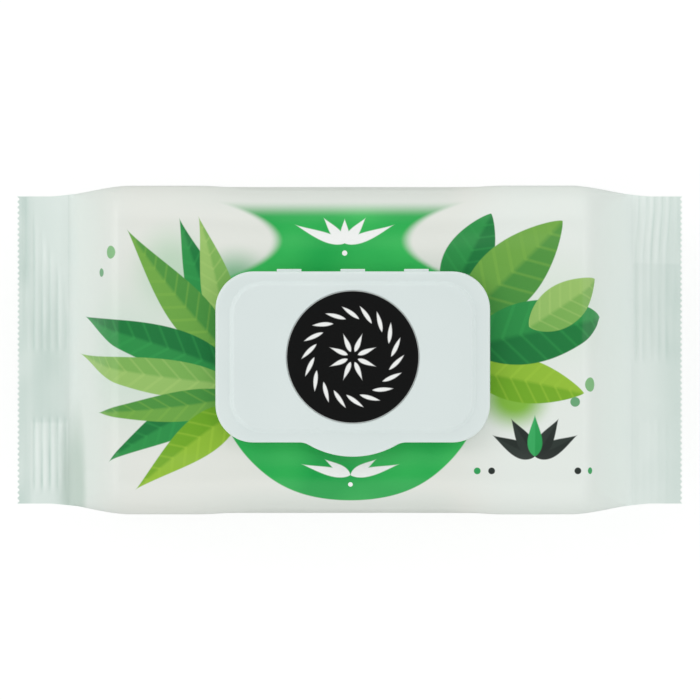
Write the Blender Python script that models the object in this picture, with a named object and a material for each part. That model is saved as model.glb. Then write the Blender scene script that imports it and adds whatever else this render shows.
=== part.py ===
"""A wet wipes pack: a sealed film pouch with tucked, crimped ends and a moulded flip lid on top.

Metres, +Z up. The origin is on the underside, below the middle of the pack. X runs along the
pack from seal to seal, and +Y points to the lid's hinge.
"""

import math

import bmesh
import bpy

# Pouch, outside sizes
PACK_LENGTH = 0.2345
PACK_WIDTH = 0.1153
PACK_HEIGHT = 0.0560
TOP_EDGE_RADIUS = 0.0140
BASE_EDGE_RADIUS = 0.0090
SIDE_BULGE = 0.0012
BULGE_END = 0.0540
BULGE_FADE = 0.0240
TOP_CROWN = 0.0010

# The film stays flat under the lid's frame, out to this margin round it
FLAT_MARGIN = 0.0015

# Ends of the pouch, where the film falls from the top and rises from the base to the seal
TOP_SHOULDER = 0.0195
BASE_SHOULDER = 0.0150
NARROWING_START = 0.0784
NARROWING_LENGTH = 0.0274
NARROWING_EASE = 0.4
TUCK_BLEND = 0.0030
MOUTH_SHARE = 0.9

# Crimped end seals
SEAL_LEVEL = 0.0280
SEAL_LENGTH = 0.0175
SEAL_WIDTH = 0.1087
SEAL_THICKNESS = 0.0008
RIB_PITCH = 0.00275
RIB_HEIGHT = 0.0004
RIB_COUNT = 5
TOOTH_PITCH = 0.00195
TOOTH_DEPTH = 0.0005
TOOTH_PHASE = 0.3

# Back seal, folded flat along the underside
BACK_SEAL_WIDTH = 0.0120
BACK_SEAL_GROOVE = 0.0006
BACK_SEAL_STEP = 0.0004

# Lid and frame, seen from above
LID_X = 0.0008
LID_Y = -0.0024
LID_LENGTH = 0.0949
LID_WIDTH = 0.0591
LID_RADIUS = 0.0131

# Clearances
GLUE_GAP = 0.0003
PARTING_GAP = 0.0003
LABEL_GAP = 0.0003
RING_CLEARANCE = 0.0006
TONGUE_CLEARANCE = 0.0003

# Frame, heights above its own underside
FLANGE_THICKNESS = 0.0010
FRAME_WALL = 0.0012
FRAME_HEIGHT = 0.0030
WINDOW_LENGTH = 0.0640
WINDOW_WIDTH = 0.0330
WINDOW_RADIUS = 0.0120
RIM_WALL = 0.0012
RIM_HEIGHT = 0.0050

# Lid, heights above the frame's underside
BAND_HEIGHT = 0.0058
LID_HEIGHT = 0.0070
LID_WALL = 0.0012
LID_PLATE = 0.0012
LID_EDGE_ROUND = 0.0010
PLATEAU_INSET_X = 0.0052
PLATEAU_INSET_Y = 0.0036
PLATEAU_SLOPE = 0.0012
PLATEAU_RADIUS = 0.0112
RING_WALL = 0.0010
RING_FOOT = 0.0020

# Thumb tab
TAB_REACH = 0.0049
TAB_WIDTH = 0.0366
TAB_FILLET = 0.0060
TAB_THICKNESS = 0.0014

# Latch: a tongue under the lid with a bead that faces a slot in the frame's front wall
TONGUE_WIDTH = 0.0100
TONGUE_THICKNESS = 0.0010
TONGUE_FOOT = 0.0014
BEAD_PROUD = 0.00025
BEAD_HEIGHT = 0.0006
SLOT_CLEARANCE = 0.0004
SLOT_LEVEL = 0.0019

# Hinge lugs
LUG_COUNT = 3
LUG_PITCH = 0.0220
LUG_WIDTH = 0.0085
LUG_REACH = 0.0009
LUG_THICKNESS = 0.0010

# Labels
LABEL_RADIUS = 0.0227
LABEL_THICKNESS = 0.0003
LABEL_RECESS = 0.0004
PEEL_MARGIN = 0.0035
PEEL_RADIUS = 0.0100
PEEL_THICKNESS = 0.0003
PEEL_TONGUE_WIDTH = 0.0090
PEEL_TONGUE_REACH = 0.0020

# How finely curved stretches are stepped
CORNER_STEPS = 8
EDGE_STEPS = 3
TOP_RUN_STEPS = 5
ROUND_STEPS = 5
FLANK_STEPS = 3
SHOULDER_STEPS = 10
MIDDLE_STEPS = 8
DISC_STEPS = 64
OVERLAP = 0.0005

# Derived places
SEAL_ROOT = PACK_LENGTH / 2 - SEAL_LENGTH
FLAT_HALF_X = abs(LID_X) + LID_LENGTH / 2 + FLAT_MARGIN
FLAT_HALF_Y = abs(LID_Y) + LID_WIDTH / 2 + FLAT_MARGIN
LID_SEAT = PACK_HEIGHT + GLUE_GAP
LID_FOOT = FRAME_HEIGHT + PARTING_GAP
HINGE_Y = LID_WIDTH / 2 + LUG_REACH
HINGE_Z = FRAME_HEIGHT + PARTING_GAP / 2
TAB_ARC_RADIUS = ((TAB_WIDTH / 2) ** 2 + TAB_REACH**2) / (2 * TAB_REACH) - TAB_FILLET


def clear_scene():
    """Removes the startup objects."""
    for obj in list(bpy.data.objects):
        bpy.data.objects.remove(obj, do_unlink=True)


def plastic(name, colour, roughness):
    """A Principled material of that colour (linear RGB) and roughness."""
    material = bpy.data.materials.new(name)
    material.use_nodes = True
    shader = material.node_tree.nodes["Principled BSDF"]
    shader.inputs["Base Color"].default_value = (*colour, 1.0)
    shader.inputs["Roughness"].default_value = roughness
    shader.inputs["Metallic"].default_value = 0.0
    material.diffuse_color = (*colour, 1.0)
    return material


def smooth(t):
    """0 before t = 0, 1 after t = 1, and an S curve between."""
    t = min(max(t, 0.0), 1.0)
    return t * t * (3.0 - 2.0 * t)


def object_from(bm, name, material=None, parent=None, helper=False):
    """Turns a bmesh into an object. A helper is a cutter, which is left out of the model."""
    bmesh.ops.recalc_face_normals(bm, faces=bm.faces)
    mesh = bpy.data.meshes.new(name)
    bm.to_mesh(mesh)
    bm.free()
    obj = bpy.data.objects.new(name, mesh)
    bpy.context.scene.collection.objects.link(obj)
    obj.parent = parent
    if material:
        mesh.materials.append(material)
    if helper:
        obj.hide_render = True
        obj.display_type = "WIRE"
    else:
        mesh.shade_smooth()
        mesh.set_sharp_from_angle(angle=math.radians(35))
    return obj


def bridge(bm, ring_a, ring_b):
    """Quads between two closed rings with the same number of vertices."""
    count = len(ring_a)
    for i in range(count):
        j = (i + 1) % count
        bm.faces.new((ring_a[i], ring_a[j], ring_b[j], ring_b[i]))


def skin(name, outlines, material=None, parent=None, closed=False, helper=False):
    """A solid skinned over outlines, each a list of (x, y) and a height.

    A closed one runs from the last outline back to the first, which leaves a hole down the middle.
    """
    bm = bmesh.new()
    rings = [[bm.verts.new((x, y, z)) for x, y in outline] for outline, z in outlines]
    for ring_a, ring_b in zip(rings, rings[1:]):
        bridge(bm, ring_a, ring_b)
    if closed:
        bridge(bm, rings[-1], rings[0])
    else:
        bm.faces.new(rings[0])
        bm.faces.new(rings[-1])
    return object_from(bm, name, material, parent, helper)


def rounded_outline(length, width, radius):
    """A rectangle with round corners, centred, as a list of points."""
    points = []
    for turn, (sx, sy) in enumerate(((1, 1), (-1, 1), (-1, -1), (1, -1))):
        centre_x = sx * (length / 2 - radius)
        centre_y = sy * (width / 2 - radius)
        for i in range(CORNER_STEPS + 1):
            angle = math.radians(90 * (turn + i / CORNER_STEPS))
            points.append((centre_x + radius * math.cos(angle), centre_y + radius * math.sin(angle)))
    return points


def box_outline(x0, x1, y0, y1):
    """A plain rectangle between two corners."""
    return [(x0, y0), (x1, y0), (x1, y1), (x0, y1)]


def round_outline(radius):
    """A circle."""
    turns = [2 * math.pi * i / DISC_STEPS for i in range(DISC_STEPS)]
    return [(radius * math.cos(a), radius * math.sin(a)) for a in turns]


def combine(obj, other, operation):
    """Adds a Boolean of obj with other, which becomes a helper."""
    other.hide_render = True
    other.display_type = "WIRE"
    modifier = obj.modifiers.new(f"{operation.lower()} {other.name}", "BOOLEAN")
    modifier.operation = operation
    modifier.solver = "EXACT"
    modifier.object = other


# Pouch


def top_height(x):
    """Height of the top film along the pack's middle line, without the shoulder's edge."""
    reach = abs(x)
    crown_run = SEAL_ROOT - TOP_SHOULDER - FLAT_HALF_X
    shoulder_top = PACK_HEIGHT - TOP_CROWN * smooth((reach - FLAT_HALF_X) / crown_run)
    fall = smooth((reach - SEAL_ROOT + TOP_SHOULDER) / TOP_SHOULDER)
    return shoulder_top + (SEAL_LEVEL + SEAL_THICKNESS / 2 - shoulder_top) * fall


def base_height(x):
    """Height of the underside along the pack's middle line."""
    rise = smooth((abs(x) - SEAL_ROOT + BASE_SHOULDER) / BASE_SHOULDER)
    return (SEAL_LEVEL - SEAL_THICKNESS / 2) * rise


def half_width(x):
    """Half of the pack's width, which narrows almost evenly towards the seals."""
    share = min(max((abs(x) - NARROWING_START) / NARROWING_LENGTH, 0.0), 1.0)
    share += (smooth(share) - share) * NARROWING_EASE
    return PACK_WIDTH / 2 + (SEAL_WIDTH - PACK_WIDTH) / 2 * share


def side_bulge(x):
    """How far the sides swell at mid height between the ends."""
    return SIDE_BULGE * (1 - smooth((abs(x) - BULGE_END + BULGE_FADE) / BULGE_FADE))


def quarter(x, height, edge_radius, crown):
    """From the middle line out to the mouth of the gusset: (y, height above the seal's level)."""
    radius = min(edge_radius, 0.5 * height)
    edge_y = half_width(x) - side_bulge(x)
    edge_height = height - crown
    points = [(0.0, height), (FLAT_HALF_Y / 2, height)]
    for i in range(TOP_RUN_STEPS):
        share = i / TOP_RUN_STEPS
        y = FLAT_HALF_Y + (edge_y - radius - FLAT_HALF_Y) * share
        points.append((y, height - crown * smooth(share)))
    for i in range(ROUND_STEPS + 1):
        angle = math.radians(90 * (1 - i / ROUND_STEPS))
        y = edge_y - radius + radius * math.cos(angle)
        points.append((y, edge_height - radius + radius * math.sin(angle)))
    points.append((edge_y, MOUTH_SHARE * (edge_height - radius)))
    return points


def upper_quarter(x):
    """The quarter over the seal's level, whose crown fades out along the shoulder."""
    fall = smooth((abs(x) - SEAL_ROOT + TOP_SHOULDER) / TOP_SHOULDER)
    return quarter(x, top_height(x) - SEAL_LEVEL, TOP_EDGE_RADIUS, TOP_CROWN * (1 - fall))


def lower_quarter(x):
    """The quarter under the seal's level, which has no crown."""
    return quarter(x, SEAL_LEVEL - base_height(x), BASE_EDGE_RADIUS, 0.0)


def run_length(points):
    """The length of a run of film through those points."""
    return sum(math.dist(a, b) for a, b in zip(points, points[1:]))


def tuck_depth(x):
    """How far the side film is tucked in at x.

    The film is as wide round the pouch everywhere, so what the sides don't need goes into the tuck.
    """
    middle = upper_quarter(0.0)
    here = upper_quarter(x)
    spare = run_length(middle) + middle[-1][1] - run_length(here)
    return math.sqrt(max(spare**2 - here[-1][1] ** 2, 0.0))


def flank(x, mouth):
    """One face of the gusset from its mouth to its crease: (y, height above the seal's level)."""
    mouth_y, mouth_height = mouth
    tuck = tuck_depth(x)
    crease_y = half_width(x) - tuck
    roundness = max(1 - tuck / TUCK_BLEND, 0.0)
    points = []
    for i in range(1, FLANK_STEPS + 1):
        share = i / FLANK_STEPS
        bend = share + (math.sin(math.pi / 2 * share) - share) * roundness
        points.append((mouth_y + (crease_y - mouth_y) * bend, mouth_height * (1 - share)))
    return points


def seal_wave(x):
    """How far the crimp lifts the seal at x: ribs alternate up and down from the seal's root."""
    rib = (abs(x) - SEAL_ROOT) / (RIB_PITCH / 2)
    if not 0.5 < rib < 2 * RIB_COUNT + 0.5:
        return 0.0
    return RIB_HEIGHT / 2 * (1 if round(rib) % 2 else -1)


def section(x, tucked):
    """The closed outline of the pouch at x as (y, z) points, with or without the tucked gussets."""
    level = SEAL_LEVEL + seal_wave(x)
    upper = upper_quarter(x)
    lower = lower_quarter(x)
    if tucked:
        upper += flank(x, upper[-1])
        lower += flank(x, lower[-1])[:-1]
    right = [(y, level + h) for y, h in upper]
    right += [(y, level - h) for y, h in reversed(lower)]
    left = [(-y, z) for y, z in reversed(right[1:-1])]
    return right + left


def body_stations():
    """X of the sections from one seal's root to the other's."""
    start = SEAL_ROOT - TOP_SHOULDER
    half = [start * i / MIDDLE_STEPS for i in range(MIDDLE_STEPS)]
    half += [start + TOP_SHOULDER * i / SHOULDER_STEPS for i in range(SHOULDER_STEPS + 1)]
    return [-x for x in reversed(half[1:])] + half


def seal_stations():
    """X of the sections from the seal's root out past its cut edge, which the teeth then cut.

    There is one for each rib's crest and each valley.
    """
    ribs = [SEAL_ROOT + RIB_PITCH / 2 * i for i in range(1, 2 * RIB_COUNT + 2)]
    return ribs + [PACK_LENGTH / 2 + OVERLAP / 2]


def ring_at(bm, x, tucked):
    """Vertices of the section at x."""
    return [bm.verts.new((x, y, z)) for y, z in section(x, tucked)]


def pouch_body(material):
    """The pouch, skinned over its sections from one end to the other."""
    bm = bmesh.new()
    stations = body_stations()
    rings = [ring_at(bm, x, tucked=True) for x in stations]
    for ring_a, ring_b in zip(rings, rings[1:]):
        bridge(bm, ring_a, ring_b)
    open_count = len(section(SEAL_ROOT, tucked=False))
    tuck_count = (len(rings[0]) - open_count) // 2
    mouth = len(upper_quarter(SEAL_ROOT))
    for side, root in ((-1, rings[0]), (1, rings[-1])):
        tuck = range(mouth - 1, mouth + tuck_count + 1)
        right_tuck = [root[i] for i in tuck]
        left_tuck = [root[-i] for i in tuck]
        bm.faces.new(right_tuck)
        bm.faces.new(left_tuck)
        hidden = set(right_tuck[1:-1]) | set(left_tuck[1:-1])
        previous = [v for v in root if v not in hidden]
        for x in seal_stations():
            ring = ring_at(bm, side * x, tucked=False)
            bridge(bm, previous, ring)
            previous = ring
        bm.faces.new(previous)
    return object_from(bm, "pouch", material)


def tooth_cutter(side):
    """A prism whose inner edge is the zigzag that cuts one end of the film."""
    tip = PACK_LENGTH / 2
    teeth = math.ceil(SEAL_WIDTH / TOOTH_PITCH) + 2
    start = -(teeth / 2 + TOOTH_PHASE) * TOOTH_PITCH
    outline = [(side * (tip + OVERLAP), start), (side * tip, start)]
    for i in range(teeth):
        y = start + TOOTH_PITCH * i
        outline.append((side * (tip - TOOTH_DEPTH), y + TOOTH_PITCH / 2))
        outline.append((side * tip, y + TOOTH_PITCH))
    outline.append((side * (tip + OVERLAP), start + teeth * TOOTH_PITCH))
    low = SEAL_LEVEL - SEAL_THICKNESS
    high = SEAL_LEVEL + SEAL_THICKNESS
    name = "cutter_teeth_right" if side > 0 else "cutter_teeth_left"
    return skin(name, [(outline, low), (outline, high)], helper=True)


def groove_cutter(name, y):
    """A shallow groove along the underside, at one edge of the folded back seal."""
    reach = SEAL_ROOT - BASE_SHOULDER
    outline = box_outline(-reach, reach, y, y + BACK_SEAL_GROOVE)
    return skin(name, [(outline, -OVERLAP), (outline, BACK_SEAL_STEP)], helper=True)


def build_pouch():
    """The sealed film pouch with the wipes inside it, as one solid."""
    film = plastic("printed film", (0.75, 0.79, 0.75), 0.32)
    pouch = pouch_body(film)
    for side in (-1, 1):
        combine(pouch, tooth_cutter(side), "DIFFERENCE")
    combine(pouch, groove_cutter("cutter_back_seal_fold", -BACK_SEAL_GROOVE), "DIFFERENCE")
    combine(pouch, groove_cutter("cutter_back_seal_edge", BACK_SEAL_WIDTH), "DIFFERENCE")
    return pouch


# Frame


def inset_outline(inset):
    """The lid's outline taken in by the same amount all round."""
    return rounded_outline(LID_LENGTH - 2 * inset, LID_WIDTH - 2 * inset, LID_RADIUS - inset)


def plateau_outline(shift):
    """The foot of the lid's plateau taken in by that amount all round."""
    length = LID_LENGTH - 2 * (PLATEAU_INSET_X + shift)
    width = LID_WIDTH - 2 * (PLATEAU_INSET_Y + shift)
    return rounded_outline(length, width, PLATEAU_RADIUS - shift)


def window_outline(growth):
    """The window's outline grown by that amount all round."""
    return rounded_outline(
        WINDOW_LENGTH + 2 * growth, WINDOW_WIDTH + 2 * growth, WINDOW_RADIUS + growth
    )


def lug_outlines():
    """Where the hinge lugs lie, from inside the back wall out to the hinge line."""
    first = -LUG_PITCH * (LUG_COUNT - 1) / 2
    back = LID_WIDTH / 2
    lugs = []
    for i in range(LUG_COUNT):
        x = first + LUG_PITCH * i
        lugs.append(box_outline(x - LUG_WIDTH / 2, x + LUG_WIDTH / 2, back - FRAME_WALL / 2, HINGE_Y))
    return lugs


def build_frame(seat, material):
    """The moulded frame: a flange with an outer wall, and a sealing rim round its window."""
    frame = skin(
        "lid_frame",
        [
            (inset_outline(0), 0.0),
            (inset_outline(0), FRAME_HEIGHT),
            (inset_outline(FRAME_WALL), FRAME_HEIGHT),
            (inset_outline(FRAME_WALL), FLANGE_THICKNESS),
            (window_outline(RIM_WALL), FLANGE_THICKNESS),
            (window_outline(RIM_WALL), RIM_HEIGHT),
            (window_outline(0), RIM_HEIGHT),
            (window_outline(0), 0.0),
        ],
        material,
        seat,
        closed=True,
    )
    for i, outline in enumerate(lug_outlines()):
        heights = (FRAME_HEIGHT - LUG_THICKNESS, FRAME_HEIGHT)
        lug = skin(f"frame_lug_{i + 1}", [(outline, z) for z in heights], parent=seat, helper=True)
        combine(frame, lug, "UNION")
    half = TONGUE_WIDTH / 2 + SLOT_CLEARANCE
    front = -LID_WIDTH / 2
    outline = box_outline(-half, half, front - OVERLAP, front + FRAME_WALL + OVERLAP)
    low = SLOT_LEVEL - SLOT_CLEARANCE
    high = SLOT_LEVEL + BEAD_HEIGHT + SLOT_CLEARANCE
    slot = skin("cutter_latch_slot", [(outline, low), (outline, high)], parent=seat, helper=True)
    combine(frame, slot, "DIFFERENCE")
    return frame


# Lid


def lid_shell(parent, material):
    """The lid's shell: skirt, outer band, and the plateau that carries the label."""
    outlines = [
        (plateau_outline(LID_WALL), LID_HEIGHT - LID_PLATE),
        (plateau_outline(LID_WALL), BAND_HEIGHT - LID_PLATE),
        (inset_outline(LID_WALL), BAND_HEIGHT - LID_PLATE),
        (inset_outline(LID_WALL), LID_FOOT),
        (inset_outline(0), LID_FOOT),
    ]
    for i in range(EDGE_STEPS + 1):
        angle = math.radians(90 * i / EDGE_STEPS)
        inset = LID_EDGE_ROUND * (1 - math.cos(angle))
        height = BAND_HEIGHT - LID_EDGE_ROUND * (1 - math.sin(angle))
        outlines.append((inset_outline(inset), height))
    step = LID_HEIGHT - BAND_HEIGHT
    for i in range(EDGE_STEPS + 1):
        share = i / EDGE_STEPS
        height = BAND_HEIGHT + step * math.sin(math.pi / 2 * share)
        outlines.append((plateau_outline(PLATEAU_SLOPE * share), height))
    return skin("lid", outlines, material, parent)


def tab_outline():
    """The thumb tab from above: a wide arc that runs into the lid's front edge in two fillets."""
    front = -LID_WIDTH / 2
    arc_centre = front - TAB_REACH + TAB_ARC_RADIUS
    fillet_centre_x = TAB_WIDTH / 2
    fillet_centre_y = front - TAB_FILLET
    joint_x = fillet_centre_x * TAB_ARC_RADIUS / (TAB_ARC_RADIUS + TAB_FILLET)
    joint_angle = math.atan2(fillet_centre_x, arc_centre - fillet_centre_y)
    inside = front + LID_WALL
    fillet = []
    for i in range(ROUND_STEPS + 1):
        angle = joint_angle * i / ROUND_STEPS
        x = fillet_centre_x - TAB_FILLET * math.sin(angle)
        fillet.append((x, fillet_centre_y + TAB_FILLET * math.cos(angle)))
    arc = []
    arc_end = math.asin(joint_x / TAB_ARC_RADIUS)
    for i in range(1, 2 * CORNER_STEPS):
        angle = arc_end * (1 - i / CORNER_STEPS)
        arc.append((TAB_ARC_RADIUS * math.sin(angle), arc_centre - TAB_ARC_RADIUS * math.cos(angle)))
    mirrored = [(-x, y) for x, y in reversed(fillet)]
    return [(TAB_WIDTH / 2, inside)] + fillet + arc + mirrored + [(-TAB_WIDTH / 2, inside)]


def add_below(lid, name, outlines, parent, closed=False):
    """Joins a feature to the lid."""
    combine(lid, skin(name, outlines, parent=parent, closed=closed, helper=True), "UNION")


def build_lid(hinge, material):
    """The moulded lid. Its parent empty stands on the hinge line, so its parts are set back from it."""
    mould = bpy.data.objects.new("lid_mould", None)
    bpy.context.scene.collection.objects.link(mould)
    mould.parent = hinge
    mould.location = (0.0, -HINGE_Y, -HINGE_Z)
    lid = lid_shell(mould, material)

    tab = tab_outline()
    add_below(lid, "thumb_tab", [(tab, BAND_HEIGHT - TAB_THICKNESS), (tab, BAND_HEIGHT)], mould)

    ring_root = LID_HEIGHT - LID_PLATE + OVERLAP
    inner = window_outline(RIM_WALL + RING_CLEARANCE)
    outer = window_outline(RIM_WALL + RING_CLEARANCE + RING_WALL)
    ring = [(inner, RING_FOOT), (inner, ring_root), (outer, ring_root), (outer, RING_FOOT)]
    add_below(lid, "sealing_ring", ring, mould, closed=True)

    face = -LID_WIDTH / 2 + FRAME_WALL + TONGUE_CLEARANCE
    half = TONGUE_WIDTH / 2
    tongue = box_outline(-half, half, face, face + TONGUE_THICKNESS)
    tongue_root = BAND_HEIGHT - LID_PLATE + OVERLAP
    add_below(lid, "latch_tongue", [(tongue, TONGUE_FOOT), (tongue, tongue_root)], mould)
    bead = box_outline(-half, half, face - BEAD_PROUD, face + TONGUE_THICKNESS / 2)
    add_below(lid, "latch_bead", [(bead, SLOT_LEVEL), (bead, SLOT_LEVEL + BEAD_HEIGHT)], mould)

    for i, outline in enumerate(lug_outlines()):
        lug = [(outline, LID_FOOT), (outline, LID_FOOT + LUG_THICKNESS)]
        add_below(lid, f"lid_lug_{i + 1}", lug, mould)

    recess = round_outline(LABEL_RADIUS + LABEL_GAP)
    heights = (LID_HEIGHT - LABEL_RECESS, LID_HEIGHT + OVERLAP)
    cutter = skin("cutter_label_recess", [(recess, z) for z in heights], parent=mould, helper=True)
    combine(lid, cutter, "DIFFERENCE")
    return mould


# Labels


def build_lid_label(mould):
    """The round black label in its shallow recess."""
    ink = plastic("black label film", (0.006, 0.006, 0.007), 0.28)
    disc = round_outline(LABEL_RADIUS)
    low = LID_HEIGHT - LABEL_RECESS + LABEL_GAP
    skin("lid_label", [(disc, low), (disc, low + LABEL_THICKNESS)], ink, mould)


def build_opening_seal(seat):
    """The peel-off label over the opening in the film, with its pull tongue at one end."""
    film = plastic("peel label film", (0.80, 0.83, 0.82), 0.40)
    half = WINDOW_LENGTH / 2 - PEEL_MARGIN
    outline = rounded_outline(2 * half, WINDOW_WIDTH - 2 * PEEL_MARGIN, PEEL_RADIUS)
    low = LABEL_GAP - GLUE_GAP
    heights = (low, low + PEEL_THICKNESS)
    seal = skin("opening_seal", [(outline, z) for z in heights], film, seat)
    tongue = box_outline(
        half - PEEL_MARGIN, half + PEEL_TONGUE_REACH, -PEEL_TONGUE_WIDTH / 2, PEEL_TONGUE_WIDTH / 2
    )
    pull = skin("pull_tongue", [(tongue, z) for z in heights], parent=seat, helper=True)
    combine(seal, pull, "UNION")


def empty_at(name, place, parent=None):
    """An empty that carries other objects."""
    empty = bpy.data.objects.new(name, None)
    bpy.context.scene.collection.objects.link(empty)
    empty.parent = parent
    empty.location = place
    return empty


def main():
    """Builds the pack with its lid closed."""
    clear_scene()
    polypropylene = plastic("white polypropylene", (0.78, 0.84, 0.84), 0.30)
    build_pouch()
    seat = empty_at("lid_seat", (LID_X, LID_Y, LID_SEAT))
    build_frame(seat, polypropylene)
    build_opening_seal(seat)
    hinge = empty_at("lid_hinge", (0.0, HINGE_Y, HINGE_Z), seat)
    mould = build_lid(hinge, polypropylene)
    build_lid_label(mould)


main()
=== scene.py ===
"""The looks of the wet wipes pack: printed film pouch, moulded flip lid and its labels.

Everything is in metres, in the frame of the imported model: X along the pack, +Y towards the
lid's hinge, +Z up. Sizes of print and of surface patterns are in millimetres.
"""

import logging
import math
from collections.abc import Callable
from dataclasses import dataclass, field
from enum import Enum
from functools import cached_property
from typing import Any

import bmesh
import bpy
import numpy as np
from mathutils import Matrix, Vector, noise


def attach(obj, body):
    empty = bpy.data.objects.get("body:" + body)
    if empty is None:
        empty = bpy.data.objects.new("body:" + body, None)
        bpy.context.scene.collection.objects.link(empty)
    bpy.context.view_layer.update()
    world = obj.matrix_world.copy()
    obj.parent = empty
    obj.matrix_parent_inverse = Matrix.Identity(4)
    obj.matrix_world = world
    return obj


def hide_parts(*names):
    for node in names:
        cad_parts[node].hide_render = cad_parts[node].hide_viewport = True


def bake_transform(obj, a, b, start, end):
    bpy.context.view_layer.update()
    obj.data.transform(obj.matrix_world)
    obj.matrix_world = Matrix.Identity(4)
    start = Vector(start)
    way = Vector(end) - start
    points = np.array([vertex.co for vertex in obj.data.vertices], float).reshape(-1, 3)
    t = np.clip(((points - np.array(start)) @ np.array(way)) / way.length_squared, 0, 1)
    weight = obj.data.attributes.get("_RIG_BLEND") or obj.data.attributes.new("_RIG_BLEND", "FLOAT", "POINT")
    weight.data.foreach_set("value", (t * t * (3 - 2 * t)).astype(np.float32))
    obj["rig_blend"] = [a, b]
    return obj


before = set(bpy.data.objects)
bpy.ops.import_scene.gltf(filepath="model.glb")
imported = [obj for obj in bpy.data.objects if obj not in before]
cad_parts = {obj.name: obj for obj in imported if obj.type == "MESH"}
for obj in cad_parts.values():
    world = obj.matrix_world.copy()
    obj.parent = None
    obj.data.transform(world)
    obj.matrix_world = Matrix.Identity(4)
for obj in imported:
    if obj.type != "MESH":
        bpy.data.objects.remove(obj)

log = logging.getLogger("wet_wipes_pack")

MM = 0.001
WEB_PLACE = "place on the flat film, mm"
# Vertex tone of the film: the seals' own squeezed tone, with painted light and painted shade laid over it.
FILM_TONE_AND_PAINTED_LIGHT = "squeezed tone with painted light and shade"
Point = tuple[float, float]
Place = tuple[float, float, float]
Tree = bpy.types.NodeTree
Node = bpy.types.Node
Socket = bpy.types.NodeSocket
Material = bpy.types.Material
Piece = bpy.types.Object
Mesh = bmesh.types.BMesh
Vert = bmesh.types.BMVert
Ring = list[Vert]


class Body(Enum):
    """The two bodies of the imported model."""

    PACK = "pack"
    LID = "lid"


# Small tools


def srgb(code: str) -> tuple[float, float, float, float]:
    """Turns an sRGB hex colour into linear RGBA.

    Args:
        code: Six hex digits, such as "e6e9e3".

    Returns:
        The linear colour, opaque.
    """
    channels = (int(code[i : i + 2], 16) / 255 for i in (0, 2, 4))
    linear = [c / 12.92 if c <= 0.04045 else ((c + 0.055) / 1.055) ** 2.4 for c in channels]
    return (linear[0], linear[1], linear[2], 1.0)


def ease(t: float) -> float:
    """An S curve from 0 at t = 0 to 1 at t = 1."""
    t = min(max(t, 0.0), 1.0)
    return t * t * (3.0 - 2.0 * t)


def bell(off: float, width: float) -> float:
    """A bell curve: 1 at no offset, and about a third at that width."""
    return math.exp(-((off / width) ** 2))


def rounding(steps: int) -> list[Point]:
    """A rounded edge in that many steps, each as 1 - cosine and 1 - sine of its angle."""
    angles = [math.radians(90 * i / steps) for i in range(steps + 1)]
    return [(1 - math.cos(angle), 1 - math.sin(angle)) for angle in angles]


def add_node(tree: Tree, kind: str, links: dict[Any, Any] | None = None, **settings: Any) -> Node:
    """Adds one shader node.

    Args:
        tree: The material's node tree.
        kind: The node's type name, without the word ShaderNode before it.
        links: Input name or number to a number, to a colour as hex digits, to the output
            socket that feeds it, or to a node, which feeds it from its first shown output.
        **settings: Properties of the node.

    Returns:
        The new node.
    """
    node = tree.nodes.new("ShaderNode" + kind)
    for name, value in settings.items():
        setattr(node, name, value)
    for key, value in (links or {}).items():
        if isinstance(value, str):
            value = srgb(value)
        if isinstance(value, Node):
            value = next(socket for socket in value.outputs if socket.enabled)
        if isinstance(value, Socket):
            tree.links.new(value, node.inputs[key])
        else:
            node.inputs[key].default_value = value
    return node


def new_material(name: str) -> tuple[Material, Tree, Node]:
    """Starts a material.

    Args:
        name: What the surface is made of.

    Returns:
        The material, its node tree and its Principled shader.
    """
    material = bpy.data.materials.new(name)
    material.use_nodes = True
    tree = material.node_tree
    return material, tree, tree.nodes["Principled BSDF"]


def set_up(shader: Node, **values: float) -> None:
    """Sets plain numbers on the shader's own sockets.

    Args:
        shader: The Principled shader.
        **values: Socket name, with underscores for spaces, to value.
    """
    for name, value in values.items():
        shader.inputs[name.replace("_", " ")].default_value = value


# Mesh tools


def piece_from(bm: Mesh, name: str, material: Material, sharp: float = 40.0) -> Piece:
    """Turns a bmesh into a smooth-shaded piece.

    Args:
        bm: The mesh, which is freed.
        name: The piece's name.
        material: Its finish.
        sharp: Edges that turn by more than this many degrees stay sharp.

    Returns:
        The new object, linked to the scene.
    """
    bmesh.ops.recalc_face_normals(bm, faces=bm.faces)
    mesh = bpy.data.meshes.new(name)
    bm.to_mesh(mesh)
    bm.free()
    mesh.materials.append(material)
    mesh.shade_smooth()
    mesh.set_sharp_from_angle(angle=math.radians(sharp))
    obj = bpy.data.objects.new(name, mesh)
    bpy.context.scene.collection.objects.link(obj)
    return obj


def add_ring(bm: Mesh, outline: list[Point], z: float, origin: Vector) -> Ring:
    """Adds a level ring of vertices.

    Args:
        bm: The mesh.
        outline: Points of the ring.
        z: Its height over the origin.
        origin: Where the outline's own zero lies.

    Returns:
        The ring's vertices.
    """
    return [bm.verts.new((origin.x + x, origin.y + y, origin.z + z)) for x, y in outline]


def bridge(bm: Mesh, ring_a: Ring, ring_b: Ring) -> None:
    """Joins two closed rings of the same length with quads."""
    count = len(ring_a)
    for i in range(count):
        j = (i + 1) % count
        bm.faces.new((ring_a[i], ring_a[j], ring_b[j], ring_b[i]))


def loft(bm: Mesh, rings: list[tuple[list[Point], float]], origin: Vector,
        looped: bool = False) -> list[Ring]:
    """Skins level rings one after the other.

    Args:
        bm: The mesh.
        rings: Outline and height of each ring.
        origin: Where the outlines' own zero lies.
        looped: The last ring is joined to the first again.

    Returns:
        The vertices of each ring.
    """
    placed = [add_ring(bm, outline, z, origin) for outline, z in rings]
    for ring_a, ring_b in zip(placed, placed[1:]):
        bridge(bm, ring_a, ring_b)
    if looped:
        bridge(bm, placed[-1], placed[0])
    return placed


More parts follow.
